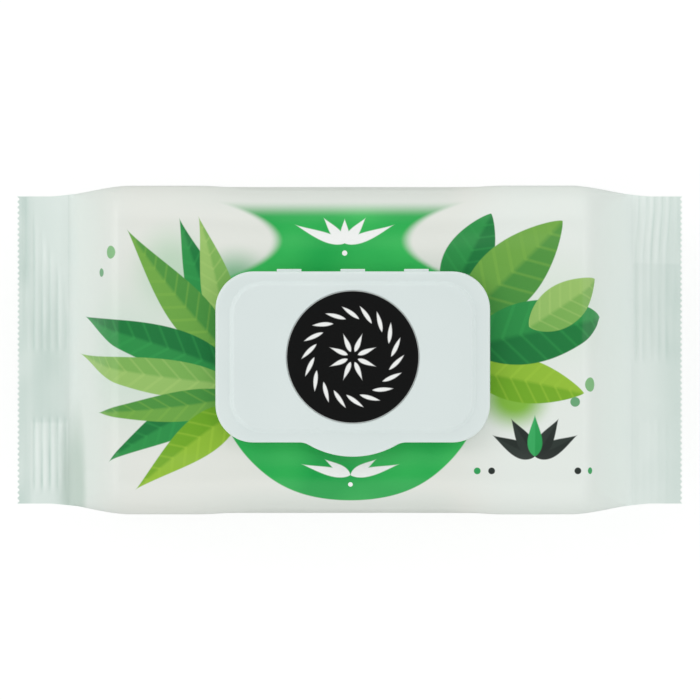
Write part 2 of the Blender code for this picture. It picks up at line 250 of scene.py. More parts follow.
def fill_between(bm: Mesh, outer: Ring, inner: Ring) -> None:
    """Fills the flat field between an outer ring and a hole in it."""
    edges = []
    for ring in (outer, inner):
        for i, vertex in enumerate(ring):
            after = ring[(i + 1) % len(ring)]
            edges.append(bm.edges.get((vertex, after)) or bm.edges.new((vertex, after)))
    bmesh.ops.triangle_fill(bm, edges=edges, use_beauty=True, use_dissolve=False, normal=(0, 0, 1))


def combine(obj: Piece, other: Piece, operation: str) -> None:
    """Applies an exact Boolean of obj with another object, which is then removed.

    Args:
        obj: The piece that is changed.
        other: The shape that is joined or cut.
        operation: UNION or DIFFERENCE.
    """
    modifier = obj.modifiers.new("combine", "BOOLEAN")
    modifier.operation = operation
    modifier.solver = "EXACT"
    modifier.object = other
    depsgraph = bpy.context.evaluated_depsgraph_get()
    mesh = bpy.data.meshes.new_from_object(obj.evaluated_get(depsgraph), depsgraph=depsgraph)
    obj.modifiers.clear()
    old = obj.data
    obj.data = mesh
    bpy.data.meshes.remove(old)
    bpy.data.objects.remove(other, do_unlink=True)
    obj.data.name = obj.name


@dataclass(frozen=True)
class RoundedRectangle:
    """A rectangle with round corners, always stepped alike, so that any two can be skinned."""

    length: float
    width: float
    radius: float
    corner_steps: int = 14
    long_steps: int = 72
    short_steps: int = 8

    def inset(self, amount: float) -> "RoundedRectangle":
        """The same shape taken in by that amount all round."""
        return RoundedRectangle(self.length - 2 * amount, self.width - 2 * amount, self.radius - amount)

    def points(self) -> list[Point]:
        """The outline, anticlockwise from the right end of the back right corner.

        Returns:
            The points in order.
        """
        outline: list[Point] = []
        sides = (self.long_steps, self.short_steps, self.long_steps, self.short_steps)
        for turn, (sx, sy) in enumerate(((1, 1), (-1, 1), (-1, -1), (1, -1))):
            cx = sx * (self.length / 2 - self.radius)
            cy = sy * (self.width / 2 - self.radius)
            for i in range(self.corner_steps + 1):
                angle = math.radians(90 * (turn + i / self.corner_steps))
                outline.append((cx + self.radius * math.cos(angle), cy + self.radius * math.sin(angle)))
            run = (self.length if turn % 2 == 0 else self.width) - 2 * self.radius
            step = run / sides[turn]
            dx, dy = ((-1, 0), (0, -1), (1, 0), (0, 1))[turn]
            x, y = outline[-1]
            outline += [(x + dx * step * i, y + dy * step * i) for i in range(1, sides[turn])]
        return outline


def circle(radius: float, steps: int = 128) -> list[Point]:
    """The points of a circle."""
    turns = [2 * math.pi * i / steps for i in range(steps)]
    return [(radius * math.cos(a), radius * math.sin(a)) for a in turns]


# Finishes


class LeafTone(Enum):
    """Darker and lighter half of a printed leaf, as sRGB hex."""

    DEEP = ("056a33", "2f9a4c")
    FRESH = ("2f8a3c", "79b24a")
    LIGHT = ("6fae4e", "a3cb70")
    LIME = ("5fa315", "9cc83c")
    INK = ("1d2622", "313b36")
    GREEN = ("1f9a4c", "3fb466")
    WHITE = ("fbfdfb", "fbfdfb")


class LeafShape(Enum):
    """Powers that bend a sine into a leaf's outline: where it is widest, and how pointed it is."""

    BLADE = (0.62, 1.15)
    OVAL = (0.85, 0.78)


@dataclass(frozen=True)
class Leaf:
    """One printed leaf, in millimetres and degrees, from its base."""

    x: float
    y: float
    angle: float
    length: float
    width: float
    bend: float
    tone: LeafTone
    shape: LeafShape = LeafShape.BLADE
    veins: int = 0

    def lay(self, tree: Tree, where: Socket, colour: Socket) -> Socket:
        """Lays the leaf: two halves of unlike tone about a bent rib, lighter towards the tip.

        Args:
            tree: The node tree.
            where: Place in millimetres.
            colour: What lies under it.

        Returns:
            The colour with the leaf on it.
        """
        local = add_node(tree, "Mapping", {"Vector": where, "Location": (self.x, self.y, 0),
            "Rotation": (0, 0, math.radians(self.angle)), "Scale": (self.length, self.width / 2, 1e6)},
            vector_type="TEXTURE")
        axes = add_node(tree, "SeparateXYZ", {"Vector": local})
        along = axes.outputs["X"]
        bow = add_node(tree, "Math", {0: along, 1: along}, operation="MULTIPLY")
        curve = self.bend * self.length / self.width * 0.7
        across = add_node(tree, "Math", {0: bow, 1: curve, 2: axes.outputs["Y"]}, operation="MULTIPLY_ADD")
        widest, pointed = self.shape.value
        place = add_node(tree, "Math", {0: along, 1: widest}, operation="POWER", use_clamp=True)
        turn = add_node(tree, "Math", {0: place, 1: math.pi}, operation="MULTIPLY")
        wave = add_node(tree, "Math", {0: turn}, operation="SINE", use_clamp=True)
        profile = add_node(tree, "Math", {0: wave, 1: pointed}, operation="POWER")
        off = add_node(tree, "Math", {0: across}, operation="ABSOLUTE")
        inside = add_node(tree, "Math", {0: profile, 1: off}, operation="SUBTRACT")
        mask = add_node(tree, "MapRange", {0: inside, 1: 0.0, 2: 0.7 / self.width})
        dark, light = self.tone.value
        tone: Any = srgb(light)
        if dark != light:
            tone = self._shade(tree, along, across.outputs[0], off.outputs[0])
        mixed = add_node(tree, "Mix", {0: mask, 6: colour, 7: tone}, data_type="RGBA")
        return mixed.outputs[2]

    def _shade(self, tree: Tree, along: Socket, across: Socket, off: Socket) -> Socket:
        """Gives the leaf's two halves their tones, its brighter tip and its veins.

        Args:
            tree: The node tree.
            along: Place along the leaf.
            across: Place across it, from its midrib.
            off: Distance from the midrib.

        Returns:
            The colour.
        """
        half = add_node(tree, "MapRange", {0: across, 1: -0.10, 2: 0.06, 3: 0.15, 4: 0.7})
        glow = add_node(tree, "Math", {0: along, 1: 0.30, 2: half}, operation="MULTIPLY_ADD",
            use_clamp=True)
        if self.veins:
            glow = self._add_veins(tree, along, off, glow)
        dark, light = self.tone.value
        tone = add_node(tree, "Mix", {0: glow, 6: dark, 7: light}, data_type="RGBA")
        return tone.outputs[2]

    def _add_veins(self, tree: Tree, along: Socket, off: Socket, glow: Node) -> Node:
        """Draws pale side veins that slant from the midrib to the tip.

        Args:
            tree: The node tree.
            along: Place along the leaf.
            off: Distance from the midrib.
            glow: Share of the lighter tone without veins.

        Returns:
            The node that gives the share with veins.
        """
        slant = add_node(tree, "Math", {0: off, 1: -1.1, 2: 0.0}, operation="MULTIPLY_ADD")
        row = add_node(tree, "Math", {0: along, 1: float(self.veins), 2: slant}, operation="MULTIPLY_ADD")
        tooth = add_node(tree, "Math", {0: row, 1: 0.5}, operation="PINGPONG")
        line = add_node(tree, "MapRange", {0: tooth, 1: 0.14, 2: 0.0, 3: 0.0, 4: 0.38})
        return add_node(tree, "Math", {0: glow, 1: line}, operation="ADD", use_clamp=True)


@dataclass(frozen=True)
class Spot:
    """One soft or crisp round spot of colour, in millimetres."""

    x: float
    y: float
    radius_x: float
    radius_y: float
    softness: float
    strength: float
    colour: str

    def lay(self, tree: Tree, where: Socket, colour: Socket) -> Socket:
        """Lays the spot.

        Args:
            tree: The node tree.
            where: Place in millimetres.
            colour: What lies under it.

        Returns:
            The colour with the spot on it.
        """
        local = add_node(tree, "Mapping", {"Vector": where, "Location": (self.x, self.y, 0),
            "Scale": (self.radius_x, self.radius_y, 1e6)}, vector_type="TEXTURE")
        away = add_node(tree, "VectorMath", {0: local}, operation="LENGTH")
        mask = add_node(tree, "MapRange", {0: away, 1: 1.0, 2: 1.0 - self.softness, 3: 0.0,
            4: self.strength}, interpolation_type="SMOOTHSTEP")
        mixed = add_node(tree, "Mix", {0: mask, 6: colour, 7: self.colour}, data_type="RGBA")
        return mixed.outputs[2]


@dataclass(frozen=True)
class PrintedFilm:
    """Laminate of printed polyester and polyethylene, blown, reverse printed and heat sealed.

    It has the even satin gloss of film, fine slack ripples, and a cooler tone at the end seals,
    where no white wipes back it. Zones and printed fields are in millimetres, and a pair of
    places says where a tone starts and where it is full.
    """

    film: str = "ebeee7"
    cool: str = "e8f0ea"
    sealed: str = "e1eee8"
    # The darker tone serves both the seals' squeezed film and painted shade. The brighter one is partly
    # painted light and painted highlight, and partly lighter patches of the seals.
    pressed_and_shaded: str = "c6dad2"
    bright: str = "f0faf5"
    field_deep: str = "10a84a"
    field_light: str = "3ac35e"
    cool_zone: Point = (76.0, 104.0)
    sealed_zone: Point = (99.0, 107.0)
    waist_shift: float = 3.0
    waist_y: float = 38.0
    waist_half: float = 25.0
    waist_flare: float = 0.10
    field_end: Point = (53.0, 46.0)
    field_start: Point = (22.0, 23.0)
    disc_y: float = -6.1
    disc_radius: float = 47.4
    disc_end: Point = (24.0, 23.0)
    roughness: float = 0.34
    ior: float = 1.5
    ripple_mm: float = 7.0
    grain_mm: float = 0.9
    leaves: tuple[Leaf, ...] = (Leaf(-40, -2, 118, 52, 15, 0.30, LeafTone.DEEP, veins=9),
        Leaf(-40, -14, 204, 52, 14, -0.25, LeafTone.DEEP, veins=9),
        Leaf(-43, 4, 98, 44, 12, -0.25, LeafTone.LIGHT, veins=9),
        Leaf(-42, -2, 134, 57, 15, 0.25, LeafTone.FRESH, veins=10),
        Leaf(-40, -8, 158, 68, 15, -0.25, LeafTone.DEEP, veins=11),
        Leaf(-40, -12, 176, 70, 13, 0.25, LeafTone.LIGHT, veins=11),
        Leaf(-38, -16, 192, 56, 11, 0.30, LeafTone.FRESH, veins=9),
        Leaf(-38, -20, 214, 47, 14, -0.20, LeafTone.LIME, veins=8),
        Leaf(34, 17, 66, 34, 17, 0.10, LeafTone.DEEP, LeafShape.OVAL, 7),
        Leaf(38, 10, 42, 50, 22, -0.12, LeafTone.FRESH, LeafShape.OVAL, 8),
        Leaf(40, -7, -9, 42, 16, 0.10, LeafTone.LIME, LeafShape.OVAL, 8),
        Leaf(40, 1, 14, 52, 22, 0.12, LeafTone.DEEP, LeafShape.OVAL, 8),
        Leaf(62, 8, 32, 30, 15, -0.10, LeafTone.LIGHT, LeafShape.OVAL, 7),
        Leaf(64, -37, 158, 17, 6, 0.25, LeafTone.INK), Leaf(64, -37, 22, 17, 6, -0.25, LeafTone.INK),
        Leaf(64, -37, 125, 16, 6, 0.15, LeafTone.INK), Leaf(64, -37, 55, 16, 6, -0.15, LeafTone.INK),
        Leaf(64, -37, 90, 15, 5.5, 0.0, LeafTone.GREEN), Leaf(-2, 37, 164, 19, 3.6, 0.25, LeafTone.WHITE),
        Leaf(-2, 37, 16, 19, 3.6, -0.25, LeafTone.WHITE), Leaf(-2, 37, 132, 12, 3.8, 0.15, LeafTone.WHITE),
        Leaf(-2, 37, 48, 12, 3.8, -0.15, LeafTone.WHITE), Leaf(-2, 37, 90, 9, 3.4, 0.0, LeafTone.WHITE),
        Leaf(0, -43.5, 172, 18, 3.4, 0.25, LeafTone.WHITE),
        Leaf(0, -43.5, 8, 18, 3.4, -0.25, LeafTone.WHITE),
        Leaf(0, -43.5, 150, 11, 3.2, 0.1, LeafTone.WHITE),
        Leaf(0, -43.5, 30, 11, 3.2, -0.1, LeafTone.WHITE))
    blurs_and_fold_shade: tuple[Spot, ...] = (Spot(-62, 28, 18, 20, 0.9, 0.55, "9fd2a6"),
        Spot(-40, 22, 16, 16, 0.8, 0.80, "5cb478"), Spot(-74, -2, 30, 38, 0.9, 0.45, "bfe2cc"),
        Spot(57, -16, 15, 14, 0.7, 0.95, "7dbb1c"), Spot(70, 14, 30, 26, 0.9, 0.30, "cfe8cc"),
        # The last spot is painted shade of a fold at the lower left end, partly a darker double layer of
        # film.
        Spot(-111.0, -50, 9.2, 37, 0.7, 0.58, "b0c6b8"))
    drops: tuple[Spot, ...] = (Spot(84, -12, 2.6, 2.6, 0.10, 0.85, "5fb45a"),
        Spot(78, -18, 1.8, 1.8, 0.14, 0.85, "359c52"), Spot(-84, 34, 2.4, 2.4, 0.12, 0.80, "5fb45a"),
        Spot(-90, 27, 1.6, 1.6, 0.16, 0.80, "359c52"), Spot(44, -42, 1.3, 1.3, 0.2, 1.0, "2fa45a"),
        Spot(49, -42, 1.3, 1.3, 0.2, 1.0, "26302b"), Spot(79, -42, 1.3, 1.3, 0.2, 1.0, "26302b"),
        Spot(84, -42, 1.3, 1.3, 0.2, 1.0, "2fa45a"), Spot(-2, 33.6, 1.0, 1.0, 0.2, 1.0, "ffffff"),
        Spot(0, -46.8, 0.9, 0.9, 0.2, 1.0, "ffffff"))

    def material(self) -> Material:
        """Builds the film's material with its print.

        Returns:
            The material.
        """
        material, tree, shader = new_material("laminated film, reverse printed")
        set_up(shader, Roughness=self.roughness, IOR=self.ior, Metallic=0.0)
        place = add_node(tree, "TexCoord").outputs["Object"]
        mm = add_node(tree, "Mapping", {"Vector": place, "Scale": (1000, 1000, 1000)})
        where = mm.outputs["Vector"]
        colour = self._plain_film(tree, where)
        web = add_node(tree, "Attribute", attribute_name=WEB_PLACE)
        printed = self._print(tree, web.outputs["Vector"], colour)
        tree.links.new(printed, shader.inputs["Base Color"])
        tree.links.new(self._slack(tree, where), shader.inputs["Normal"])
        return material

    def _plain_film(self, tree: Tree, where: Socket) -> Socket:
        """The unprinted film, cooler towards the ends, and darker or lighter by its vertex tone, which is
        the seals' own squeezed tone with painted light and painted shade laid over it.

        Args:
            tree: The node tree.
            where: Place on the film in millimetres.

        Returns:
            The colour.
        """
        axes = add_node(tree, "SeparateXYZ", {"Vector": where})
        along = add_node(tree, "Math", {0: axes.outputs["X"]}, operation="ABSOLUTE")
        wander = add_node(tree, "TexNoise", {"Vector": where, "Scale": 0.05, "Detail": 2.0})
        reach = add_node(tree, "Math", {0: wander, 1: 9.0, 2: along}, operation="MULTIPLY_ADD")
        ends = add_node(tree, "MapRange", {0: reach, 1: self.cool_zone[0], 2: self.cool_zone[1]},
            interpolation_type="SMOOTHSTEP")
        colour = add_node(tree, "Mix", {0: ends, 6: self.film, 7: self.cool}, data_type="RGBA")
        outer = add_node(tree, "MapRange", {0: reach, 1: self.sealed_zone[0], 2: self.sealed_zone[1]},
            interpolation_type="SMOOTHSTEP")
        colour = add_node(tree, "Mix", {0: outer, 6: colour, 7: self.sealed}, data_type="RGBA")
        # The vertex tone darkens towards the darker colour, as squeezed seal film and as painted shade, and
        # lightens towards the brighter colour, as painted light and painted highlight and as lighter seal
        # patches.
        tone_and_shade = add_node(tree, "Attribute", attribute_name=FILM_TONE_AND_PAINTED_LIGHT).outputs["Fac"]
        dark = add_node(tree, "Mix", {0: tone_and_shade, 6: colour, 7: self.pressed_and_shaded}, data_type="RGBA")
        less = add_node(tree, "MapRange", {0: tone_and_shade, 1: 0.0, 2: -1.0})
        light = add_node(tree, "Mix", {0: less, 6: dark, 7: self.bright}, data_type="RGBA")
        return light.outputs[2]

    def _print(self, tree: Tree, where: Socket, colour: Socket) -> Socket:
        """Lays every printed shape over the film, with the painted fold shade among the soft spots.

        Args:
            tree: The node tree.
            where: Place on the film laid flat, in millimetres.
            colour: The unprinted film.

        Returns:
            The printed colour.
        """
        for spot in self.blurs_and_fold_shade:
            colour = spot.lay(tree, where, colour)
        colour = self._lay_fields(tree, where, colour)
        for motif in (*self.leaves, *self.drops):
            colour = motif.lay(tree, where, colour)
        return colour

    def _lay_fields(self, tree: Tree, where: Socket, colour: Socket) -> Socket:
        """Lays the plain green fields behind and in front of the lid.

        The one behind is a waisted band with soft ends, and the one in front part of a disc.

        Args:
            tree: The node tree.
            where: Place on the film laid flat, in millimetres.
            colour: What lies under them.

        Returns:
            The colour with the fields on it.
        """
        axes = add_node(tree, "SeparateXYZ", {"Vector": where})
        x, y = axes.outputs["X"], axes.outputs["Y"]
        tone = add_node(tree, "TexNoise", {"Vector": where, "Scale": 0.03, "Detail": 1.0})
        shade = add_node(tree, "MapRange", {0: tone, 1: 0.35, 2: 0.65})
        green = add_node(tree, "Mix", {0: shade, 6: self.field_deep, 7: self.field_light}, data_type="RGBA")
        lift = add_node(tree, "Math", {0: y, 1: self.waist_y}, operation="SUBTRACT")
        square = add_node(tree, "Math", {0: lift, 1: lift}, operation="MULTIPLY")
        half = add_node(tree, "Math", {0: square, 1: self.waist_flare, 2: self.waist_half},
            operation="MULTIPLY_ADD")
        centred = add_node(tree, "Math", {0: x, 1: self.waist_shift}, operation="ADD")
        away = add_node(tree, "Math", {0: centred}, operation="ABSOLUTE")
        inside = add_node(tree, "Math", {0: half, 1: away}, operation="SUBTRACT")
        side = add_node(tree, "MapRange", {0: inside, 1: 0.0, 2: 5.0}, interpolation_type="SMOOTHSTEP")
        end = add_node(tree, "MapRange", {0: y, 1: self.field_end[0], 2: self.field_end[1]},
            interpolation_type="SMOOTHSTEP")
        behind = add_node(tree, "MapRange", {0: y, 1: self.field_start[0], 2: self.field_start[1]})
        band = add_node(tree, "Math", {0: side, 1: end}, operation="MULTIPLY")
        band = add_node(tree, "Math", {0: band, 1: behind}, operation="MULTIPLY")
        disc = add_node(tree, "Mapping", {"Vector": where, "Location": (0.0, self.disc_y, 0.0),
            "Scale": (self.disc_radius, self.disc_radius, 1e6)}, vector_type="TEXTURE")
        reach = add_node(tree, "VectorMath", {0: disc}, operation="LENGTH")
        rim = add_node(tree, "MapRange", {0: reach, 1: 1.004, 2: 0.996})
        before = add_node(tree, "MapRange", {0: y, 1: self.disc_end[0], 2: self.disc_end[1]})
        cap = add_node(tree, "Math", {0: rim, 1: before}, operation="MULTIPLY")
        mask = add_node(tree, "Math", {0: band, 1: cap}, operation="MAXIMUM")
        mixed = add_node(tree, "Mix", {0: mask, 6: colour, 7: green}, data_type="RGBA")
        return mixed.outputs[2]

    def _slack(self, tree: Tree, where: Socket) -> Socket:
        """Slack ripples and the film's fine grain, drawn coarser than real so that they show.

        Args:
            tree: The node tree.
            where: Place on the film in millimetres.

        Returns:
            The normal.
        """
        ripple = add_node(tree, "TexNoise", {"Vector": where, "Scale": 1 / self.ripple_mm, "Detail": 3.0,
            "Distortion": 0.6})
        grain = add_node(tree, "TexNoise", {"Vector": where, "Scale": 1 / self.grain_mm, "Detail": 1.0})
        soft = add_node(tree, "Bump", {"Height": ripple, "Strength": 0.25, "Distance": 0.4 * MM})
        fine = add_node(tree, "Bump", {"Height": grain, "Strength": 0.08, "Distance": 0.05 * MM,
            "Normal": soft})
        return fine.outputs[0]


@dataclass(frozen=True)
class MouldedPolypropylene:
    """White polypropylene, injection moulded in a fine spark-eroded tool.

    It has a soft semi-gloss, a cool milky white, and a grain that only breaks up highlights.
    """

    white: str = "e8f2f0"
    shadow: str = "e0ebe9"
    roughness: float = 0.30
    ior: float = 1.49
    grain_mm: float = 0.35
    flow_mm: float = 30.0

    def material(self) -> Material:
        """Builds the material.

        Returns:
            The material.
        """
        material, tree, shader = new_material("polypropylene, injection moulded, white")
        set_up(shader, Roughness=self.roughness, IOR=self.ior, Metallic=0.0)
        place = add_node(tree, "TexCoord").outputs["Object"]
        mm = add_node(tree, "Mapping", {"Vector": place, "Scale": (1000, 1000, 1000)})
        where = mm.outputs["Vector"]
        flow = add_node(tree, "TexNoise", {"Vector": where, "Scale": 1 / self.flow_mm, "Detail": 1.0})
        colour = add_node(tree, "Mix", {0: flow, 6: self.shadow, 7: self.white}, data_type="RGBA")
        tree.links.new(colour.outputs[2], shader.inputs["Base Color"])
        grain = add_node(tree, "TexNoise", {"Vector": where, "Scale": 1 / self.grain_mm, "Detail": 1.0})
        bump = add_node(tree, "Bump", {"Height": grain, "Strength": 0.10, "Distance": 0.02 * MM})
        tree.links.new(bump.outputs[0], shader.inputs["Normal"])
        return material


@dataclass(frozen=True)
class LabelFilm:
    """Paper-backed label film, flood printed and varnished, with a thin unprinted rim."""

    ink: str
    rim: str
    centre: Point
    rim_radius_mm: float
    wreath_mm: float = 13.2
    wreath_leaves: int = 18
    rosette_leaves: int = 8
    roughness: float = 0.28
    speckle_mm: float = 0.5

    def material(self) -> Material:
        """Builds the material.

        Returns:
            The material.
        """
        material, tree, shader = new_material("label film, flood printed and varnished")
        set_up(shader, Roughness=self.roughness, IOR=1.5, Metallic=0.0)
        place = add_node(tree, "TexCoord").outputs["Object"]
        x, y = self.centre
        local = add_node(tree, "Mapping", {"Vector": place, "Location": (x, y, 0), "Scale": (MM, MM, 1e6)},
            vector_type="TEXTURE")
        away = add_node(tree, "VectorMath", {0: local}, operation="LENGTH")
        edge = add_node(tree, "MapRange", {0: away, 1: self.rim_radius_mm - 0.06,
            2: self.rim_radius_mm + 0.06})
        speckle = add_node(tree, "TexNoise", {"Vector": local, "Scale": 1 / self.speckle_mm, "Detail": 1.0})
        dusted = add_node(tree, "Mix", {0: speckle, 6: self.ink, 7: "0d0e0e"}, data_type="RGBA")
        colour = add_node(tree, "Mix", {0: edge, 6: dusted, 7: self.rim}, data_type="RGBA")
        printed = colour.outputs[2]
        for leaf in self._wreath():
            printed = leaf.lay(tree, local.outputs[0], printed)
        tree.links.new(printed, shader.inputs["Base Color"])
        return material

    def _wreath(self) -> list[Leaf]:
        """White leaves in two closed rings: leaning ones outside, and a rosette inside.

        Returns:
            The leaves, in millimetres from the label's centre.
        """
        leaves = []
        for i in range(self.wreath_leaves):
            turn = 360 * i / self.wreath_leaves
            x = self.wreath_mm * math.cos(math.radians(turn))
            y = self.wreath_mm * math.sin(math.radians(turn))
            leaves.append(Leaf(x, y, turn + 62, 7.6, 1.7, -0.12, LeafTone.WHITE, LeafShape.OVAL))
        for i in range(self.rosette_leaves):
            turn = 360 * (i + 0.5) / self.rosette_leaves
            x = 1.8 * math.cos(math.radians(turn))
            y = 1.8 * math.sin(math.radians(turn))
            leaves.append(Leaf(x, y, turn, 7.4, 1.9, 0.0, LeafTone.WHITE))
        return leaves


@dataclass(frozen=True)
class PeelFilm:
    """White peel-off label film with a tinted pull tongue, matt from its release varnish."""

    white: str = "eef1ee"
    tongue: str = "8ccf9b"
    tongue_start: float = 0.0305
    roughness: float = 0.42
    ripple_mm: float = 5.0

    def material(self) -> Material:
        """Builds the material.

        Returns:
            The material.
        """
        material, tree, shader = new_material("peel label film, white")
        set_up(shader, Roughness=self.roughness, IOR=1.5, Metallic=0.0)
        place = add_node(tree, "TexCoord").outputs["Object"]
        axes = add_node(tree, "SeparateXYZ", {"Vector": place})
        tip = add_node(tree, "MapRange", {0: axes.outputs["X"], 1: self.tongue_start - 0.0004,
            2: self.tongue_start})
        colour = add_node(tree, "Mix", {0: tip, 6: self.white, 7: self.tongue}, data_type="RGBA")
        tree.links.new(colour.outputs[2], shader.inputs["Base Color"])
        ripple = add_node(tree, "TexNoise", {"Vector": place, "Scale": 1 / (self.ripple_mm * MM),
            "Detail": 2.0})
        bump = add_node(tree, "Bump", {"Height": ripple, "Strength": 0.2, "Distance": 0.2 * MM})
        tree.links.new(bump.outputs[0], shader.inputs["Normal"])
        return material


# Pouch


@dataclass
class FilmPouch:
    """The film pouch: rounded block, tucked ends, crimped end seals and folded back seal."""

    length: float = 0.2345
    width: float = 0.1153
    height: float = 0.0560
    top_edge: float = 0.0140
    base_edge: float = 0.0090
    bulge: float = 0.0012
    bulge_end: float = 0.0540
    bulge_fade: float = 0.0240
    crown: float = 0.0010
    flat_x: float = 0.04975
    flat_y: float = 0.03345
    top_shoulder: float = 0.0195
    base_shoulder: float = 0.0150
    narrowing_start: float = 0.0784
    narrowing_length: float = 0.0274
    seal_level: float = 0.0280
    seal_length: float = 0.0175
    seal_width: float = 0.1087
    seal_thickness: float = 0.0006
    first_rib: tuple[float, float] = (0.00535, 0.0041)
    rib_pitch: float = 0.00275
    rib_count: int = 5
    rib_depth: float = 0.00026
    rib_width: float = 0.0010
    tooth_depth: float = 0.0009
    tooth_reach: tuple[float, float] = (0.0007, 0.0003)
    back_seal_width: float = 0.0170
    back_seal_step: float = 0.0003
    quarter_steps: int = 56
    flank_steps: int = 8
    tuck_blend: float = 0.0030
    mouth_share: float = 0.9
    finish: PrintedFilm = field(default_factory=PrintedFilm)

    @property
    def root(self) -> float:
        """Distance of the end seals' inner edges from the middle."""
        return self.length / 2 - self.seal_length

    def top_height(self, x: float) -> float:
        """Height of the top film on the middle line.

        Args:
            x: Place along the pack.

        Returns:
            The height.
        """
        reach = abs(x)
        run = self.root - self.top_shoulder - self.flat_x
        shoulder = self.height - self.crown * ease((reach - self.flat_x) / run)
        fall = ease((reach - self.root + self.top_shoulder) / self.top_shoulder)
        return shoulder + (self.seal_level + self.seal_thickness / 2 - shoulder) * fall

    def base_height(self, x: float) -> float:
        """Height of the underside on the middle line."""
        rise = ease((abs(x) - self.root + self.base_shoulder) / self.base_shoulder)
        return (self.seal_level - self.seal_thickness / 2) * rise

    def half_width(self, x: float) -> float:
        """Half of the pack's width, which narrows almost evenly towards the seals.

        Args:
            x: Place along the pack.

        Returns:
            The half width.
        """
        share = min(max((abs(x) - self.narrowing_start) / self.narrowing_length, 0.0), 1.0)
        share += (ease(share) - share) * 0.4
        return self.width / 2 + (self.seal_width - self.width) / 2 * share

    def quarter(self, x: float, height: float, edge: float, crown: float) -> np.ndarray:
        """From the middle line to the gusset's mouth.

        Args:
            x: Place along the pack.
            height: Height of the middle line over the seal's level.
            edge: Radius of the long edge.
            crown: How far the film falls towards the edge.

        Returns:
            Evenly spaced rows of (y, height over the seal's level).
        """
        radius = min(edge, 0.5 * height)
        bulge = self.bulge * (1 - ease((abs(x) - self.bulge_end + self.bulge_fade) / self.bulge_fade))
        edge_y = self.half_width(x) - bulge
        low = height - crown
        points = [(0.0, height), (self.flat_y / 2, height)]
        for i in range(12):
            share = i / 12
            y = self.flat_y + (edge_y - radius - self.flat_y) * share
            points.append((y, height - crown * ease(share)))
        for i in range(15):
            angle = math.radians(90 * (1 - i / 14))
            points.append((edge_y - radius + radius * math.cos(angle),
                low - radius + radius * math.sin(angle)))
        points.append((edge_y, self.mouth_share * (low - radius)))
        rows = np.array(points)
        reach = np.concatenate([[0.0], np.cumsum(np.hypot(*np.diff(rows, axis=0).T))])
        even = np.linspace(0.0, reach[-1], self.quarter_steps + 1)
        return np.column_stack([np.interp(even, reach, rows[:, k]) for k in (0, 1)])

    def upper_quarter(self, x: float) -> np.ndarray:
        """The quarter over the seal's level, whose crown fades out along the shoulder."""
        fall = ease((abs(x) - self.root + self.top_shoulder) / self.top_shoulder)
        height = self.top_height(x) - self.seal_level
        return self.quarter(x, height, self.top_edge, self.crown * (1 - fall))

    def lower_quarter(self, x: float) -> np.ndarray:
        """The quarter under the seal's level."""
        return self.quarter(x, self.seal_level - self.base_height(x), self.base_edge, 0.0)

    def tuck(self, here: np.ndarray) -> float:
        """How far the side film is tucked in, from the film's length round the pouch.

        Args:
            here: The upper quarter at a place.

        Returns:
            The depth of the tuck.
        """
        middle = self.upper_quarter(0.0)
        spare = _run(middle) + middle[-1, 1] - _run(here)
        return math.sqrt(max(spare**2 - here[-1, 1] ** 2, 0.0))

    def section(self, x: float) -> tuple[np.ndarray, np.ndarray, np.ndarray]:
        """The right half of the section at x.

        Args:
            x: Place along the pack.

        Returns:
            Upper quarter, gusset from the upper to the lower mouth, and lower quarter, as rows of
            (y, z).
        """
        upper, lower = self.upper_quarter(x), self.lower_quarter(x)
        depth = self.tuck(upper)
        crease = self.half_width(x) - depth
        roundness = max(1 - depth / self.tuck_blend, 0.0)
        flanks = []
        for mouth in (upper[-1], lower[-1] * (1, -1)):
            rows = []
            for i in range(1, self.flank_steps + 1):
                share = i / self.flank_steps
                bend = share + (math.sin(math.pi / 2 * share) - share) * roundness
                rows.append((mouth[0] + (crease - mouth[0]) * bend, mouth[1] * (1 - share)))
            flanks.append(rows)
        gusset = np.array(flanks[0] + flanks[1][-2::-1])
        level = np.array((0.0, self.seal_level))
        return upper + level, gusset + level, lower * (1, -1) + level

    def stations(self) -> np.ndarray:
        """X of the body's sections from one seal's root to the other's."""
        start = self.root - self.top_shoulder - 0.004
        middle = np.linspace(-start, start, 96)
        slope = np.linspace(start, self.root, 30)[1:]
        return np.concatenate([-slope[::-1], middle, slope])

    def relief(self, x: float, y: float, z: float, normal: Vector) -> float:
        """How far the film stands off its smooth form.

        Args:
            x: Place along the pack.
            y: Place across it.
            z: Height.
            normal: Direction in which the film faces.

        Returns:
            The offset along the normal.
        """
        reach, side = abs(x), abs(y)
        beyond = math.hypot(max(reach - 0.048, 0.0), max(side - 0.031, 0.0))
        free = ease(beyond / 0.016) if normal.z > 0.3 else 1.0
        if normal.z < -0.5:
            free = 0.12
        swell = 0.00022 * noise.noise(Vector((x / 0.034 + 7, y / 0.026, z / 0.03)))
        near_end = ease((reach - 0.070) / 0.026) * (1 - ease((reach - 0.098) / 0.004))
        pleat = 0.00034 * noise.noise(Vector((x / 0.045, y / 0.0062 + 3, 5.0))) * near_end
        along = (reach - self.root) * 0.80 + (side - 0.052) * 0.60
        off = (reach - self.root) * -0.60 + (side - 0.052) * 0.80
        fold = bell(off, 0.0022) * ease(-along / 0.006) * (1 - ease((-along - 0.014) / 0.014))
        second = bell(off + 0.0075, 0.0026) * ease(-along / 0.006)
        second *= 1 - ease((-along - 0.010) / 0.012)
        creases = 0.00032 * fold - 0.00026 * second if normal.z > 0.1 else 0.0
        if x < 0 and normal.z > 0.1:
            drawn = bell(x + 0.0980 + (y + 0.05) * 0.06, 0.0030)
            creases -= 0.0006 * drawn * ease((-y - 0.014) / 0.012)
        return free * (swell + pleat + creases) * (1 - 0.85 * abs(normal.y))

